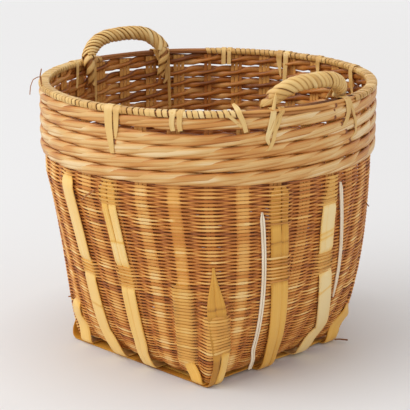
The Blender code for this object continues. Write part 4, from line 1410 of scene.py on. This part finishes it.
def build_floor():
    bpy.ops.mesh.primitive_plane_add(size=24, location=(0, 0, FLOOR_Z))
    floor = bpy.context.object
    floor.name = "floor"
    mat = bpy.data.materials.new("pale_floor")
    mat.use_nodes = True
    tree = mat.node_tree
    shader = tree.nodes["Principled BSDF"]
    put(shader, {"Base Color": FLOOR_COLOUR, "Roughness": 0.9})
    place = add(tree, "TexCoord", out="Object")
    slope = on_diagonal(FLOOR_PAINTED_LIGHT_RIGHT, FLOOR_PAINTED_LIGHT_FAR, 0)
    rise = add(tree, "VectorMath", {0: place, 1: slope}, out="Value", operation="DOT_PRODUCT")
    level = add(tree, "Math", {0: rise, 1: FLOOR_PAINTED_LIGHT}, operation="ADD", use_clamp=True)
    away = add(tree, "VectorMath", {0: place}, out="Value", operation="LENGTH")
    limits = {"From Min": PAINTED_LIGHT_STARTS, "From Max": PAINTED_LIGHT_WHOLE}
    clear = add(tree, "MapRange", {"Value": away, **limits}, out="Result")
    for share in (clear, add(tree, "LightPath", out="Is Camera Ray")):
        level = add(tree, "Math", {0: level, 1: share}, operation="MULTIPLY")
    # Painted light: an emission on the floor that only the camera sees
    painted_light = add(tree, "Emission", {"Color": (1, 0.995, 0.995, 1), "Strength": level})
    both = add(tree, "AddShader", {0: shader.outputs[0], 1: painted_light})
    put(tree.nodes["Material Output"], {"Surface": both})
    floor.data.materials.append(mat)


def build_light():
    for name, (place, size, power) in LIGHTS.items():
        data = bpy.data.lights.new(name, "AREA")
        data.shape = "DISK"
        data.size = size
        data.energy = power
        light = bpy.data.objects.new(name, data)
        light.location = place
        light.rotation_euler = (LIT_POINT - Vector(place)).to_track_quat("-Z", "Y").to_euler()
        bpy.context.scene.collection.objects.link(light)
    world = bpy.data.worlds.new("studio")
    bpy.context.scene.world = world
    world.use_nodes = True
    tree = world.node_tree
    lit = tree.nodes["Background"]
    put(lit, {"Color": (1, 1, 1, 1), "Strength": WORLD_LIGHT})
    seen = add(tree, "Background", {"Color": (0.85, 0.85, 0.85, 1), "Strength": 1.0})
    rays = add(tree, "LightPath").node.outputs
    either = add(tree, "Math", {0: rays["Is Camera Ray"], 1: rays["Is Glossy Ray"]}, operation="MAXIMUM")
    mixed = add(tree, "MixShader", {"Fac": either, 1: lit.outputs[0], 2: seen})
    put(tree.nodes["World Output"], {"Surface": mixed})


def build_camera():
    data = bpy.data.cameras.new("camera")
    data.sensor_width = 36
    data.lens = FOCAL_WIDTHS * data.sensor_width
    s, c = math.sin(CAMERA_PITCH), math.cos(CAMERA_PITCH)
    axes = Matrix((on_diagonal(1, 0, 0), on_diagonal(0, s, c), on_diagonal(0, -c, s)))
    camera = bpy.data.objects.new("camera", data)
    place = on_diagonal(-CAMERA_LEFT, -CAMERA_DISTANCE, CAMERA_HEIGHT)
    camera.matrix_world = Matrix.Translation(place) @ axes.transposed().to_4x4()
    bpy.context.scene.collection.objects.link(camera)
    bpy.context.scene.camera = camera


build_floor()
build_light()
build_camera()
bpy.context.scene.view_settings.view_transform = "Standard"
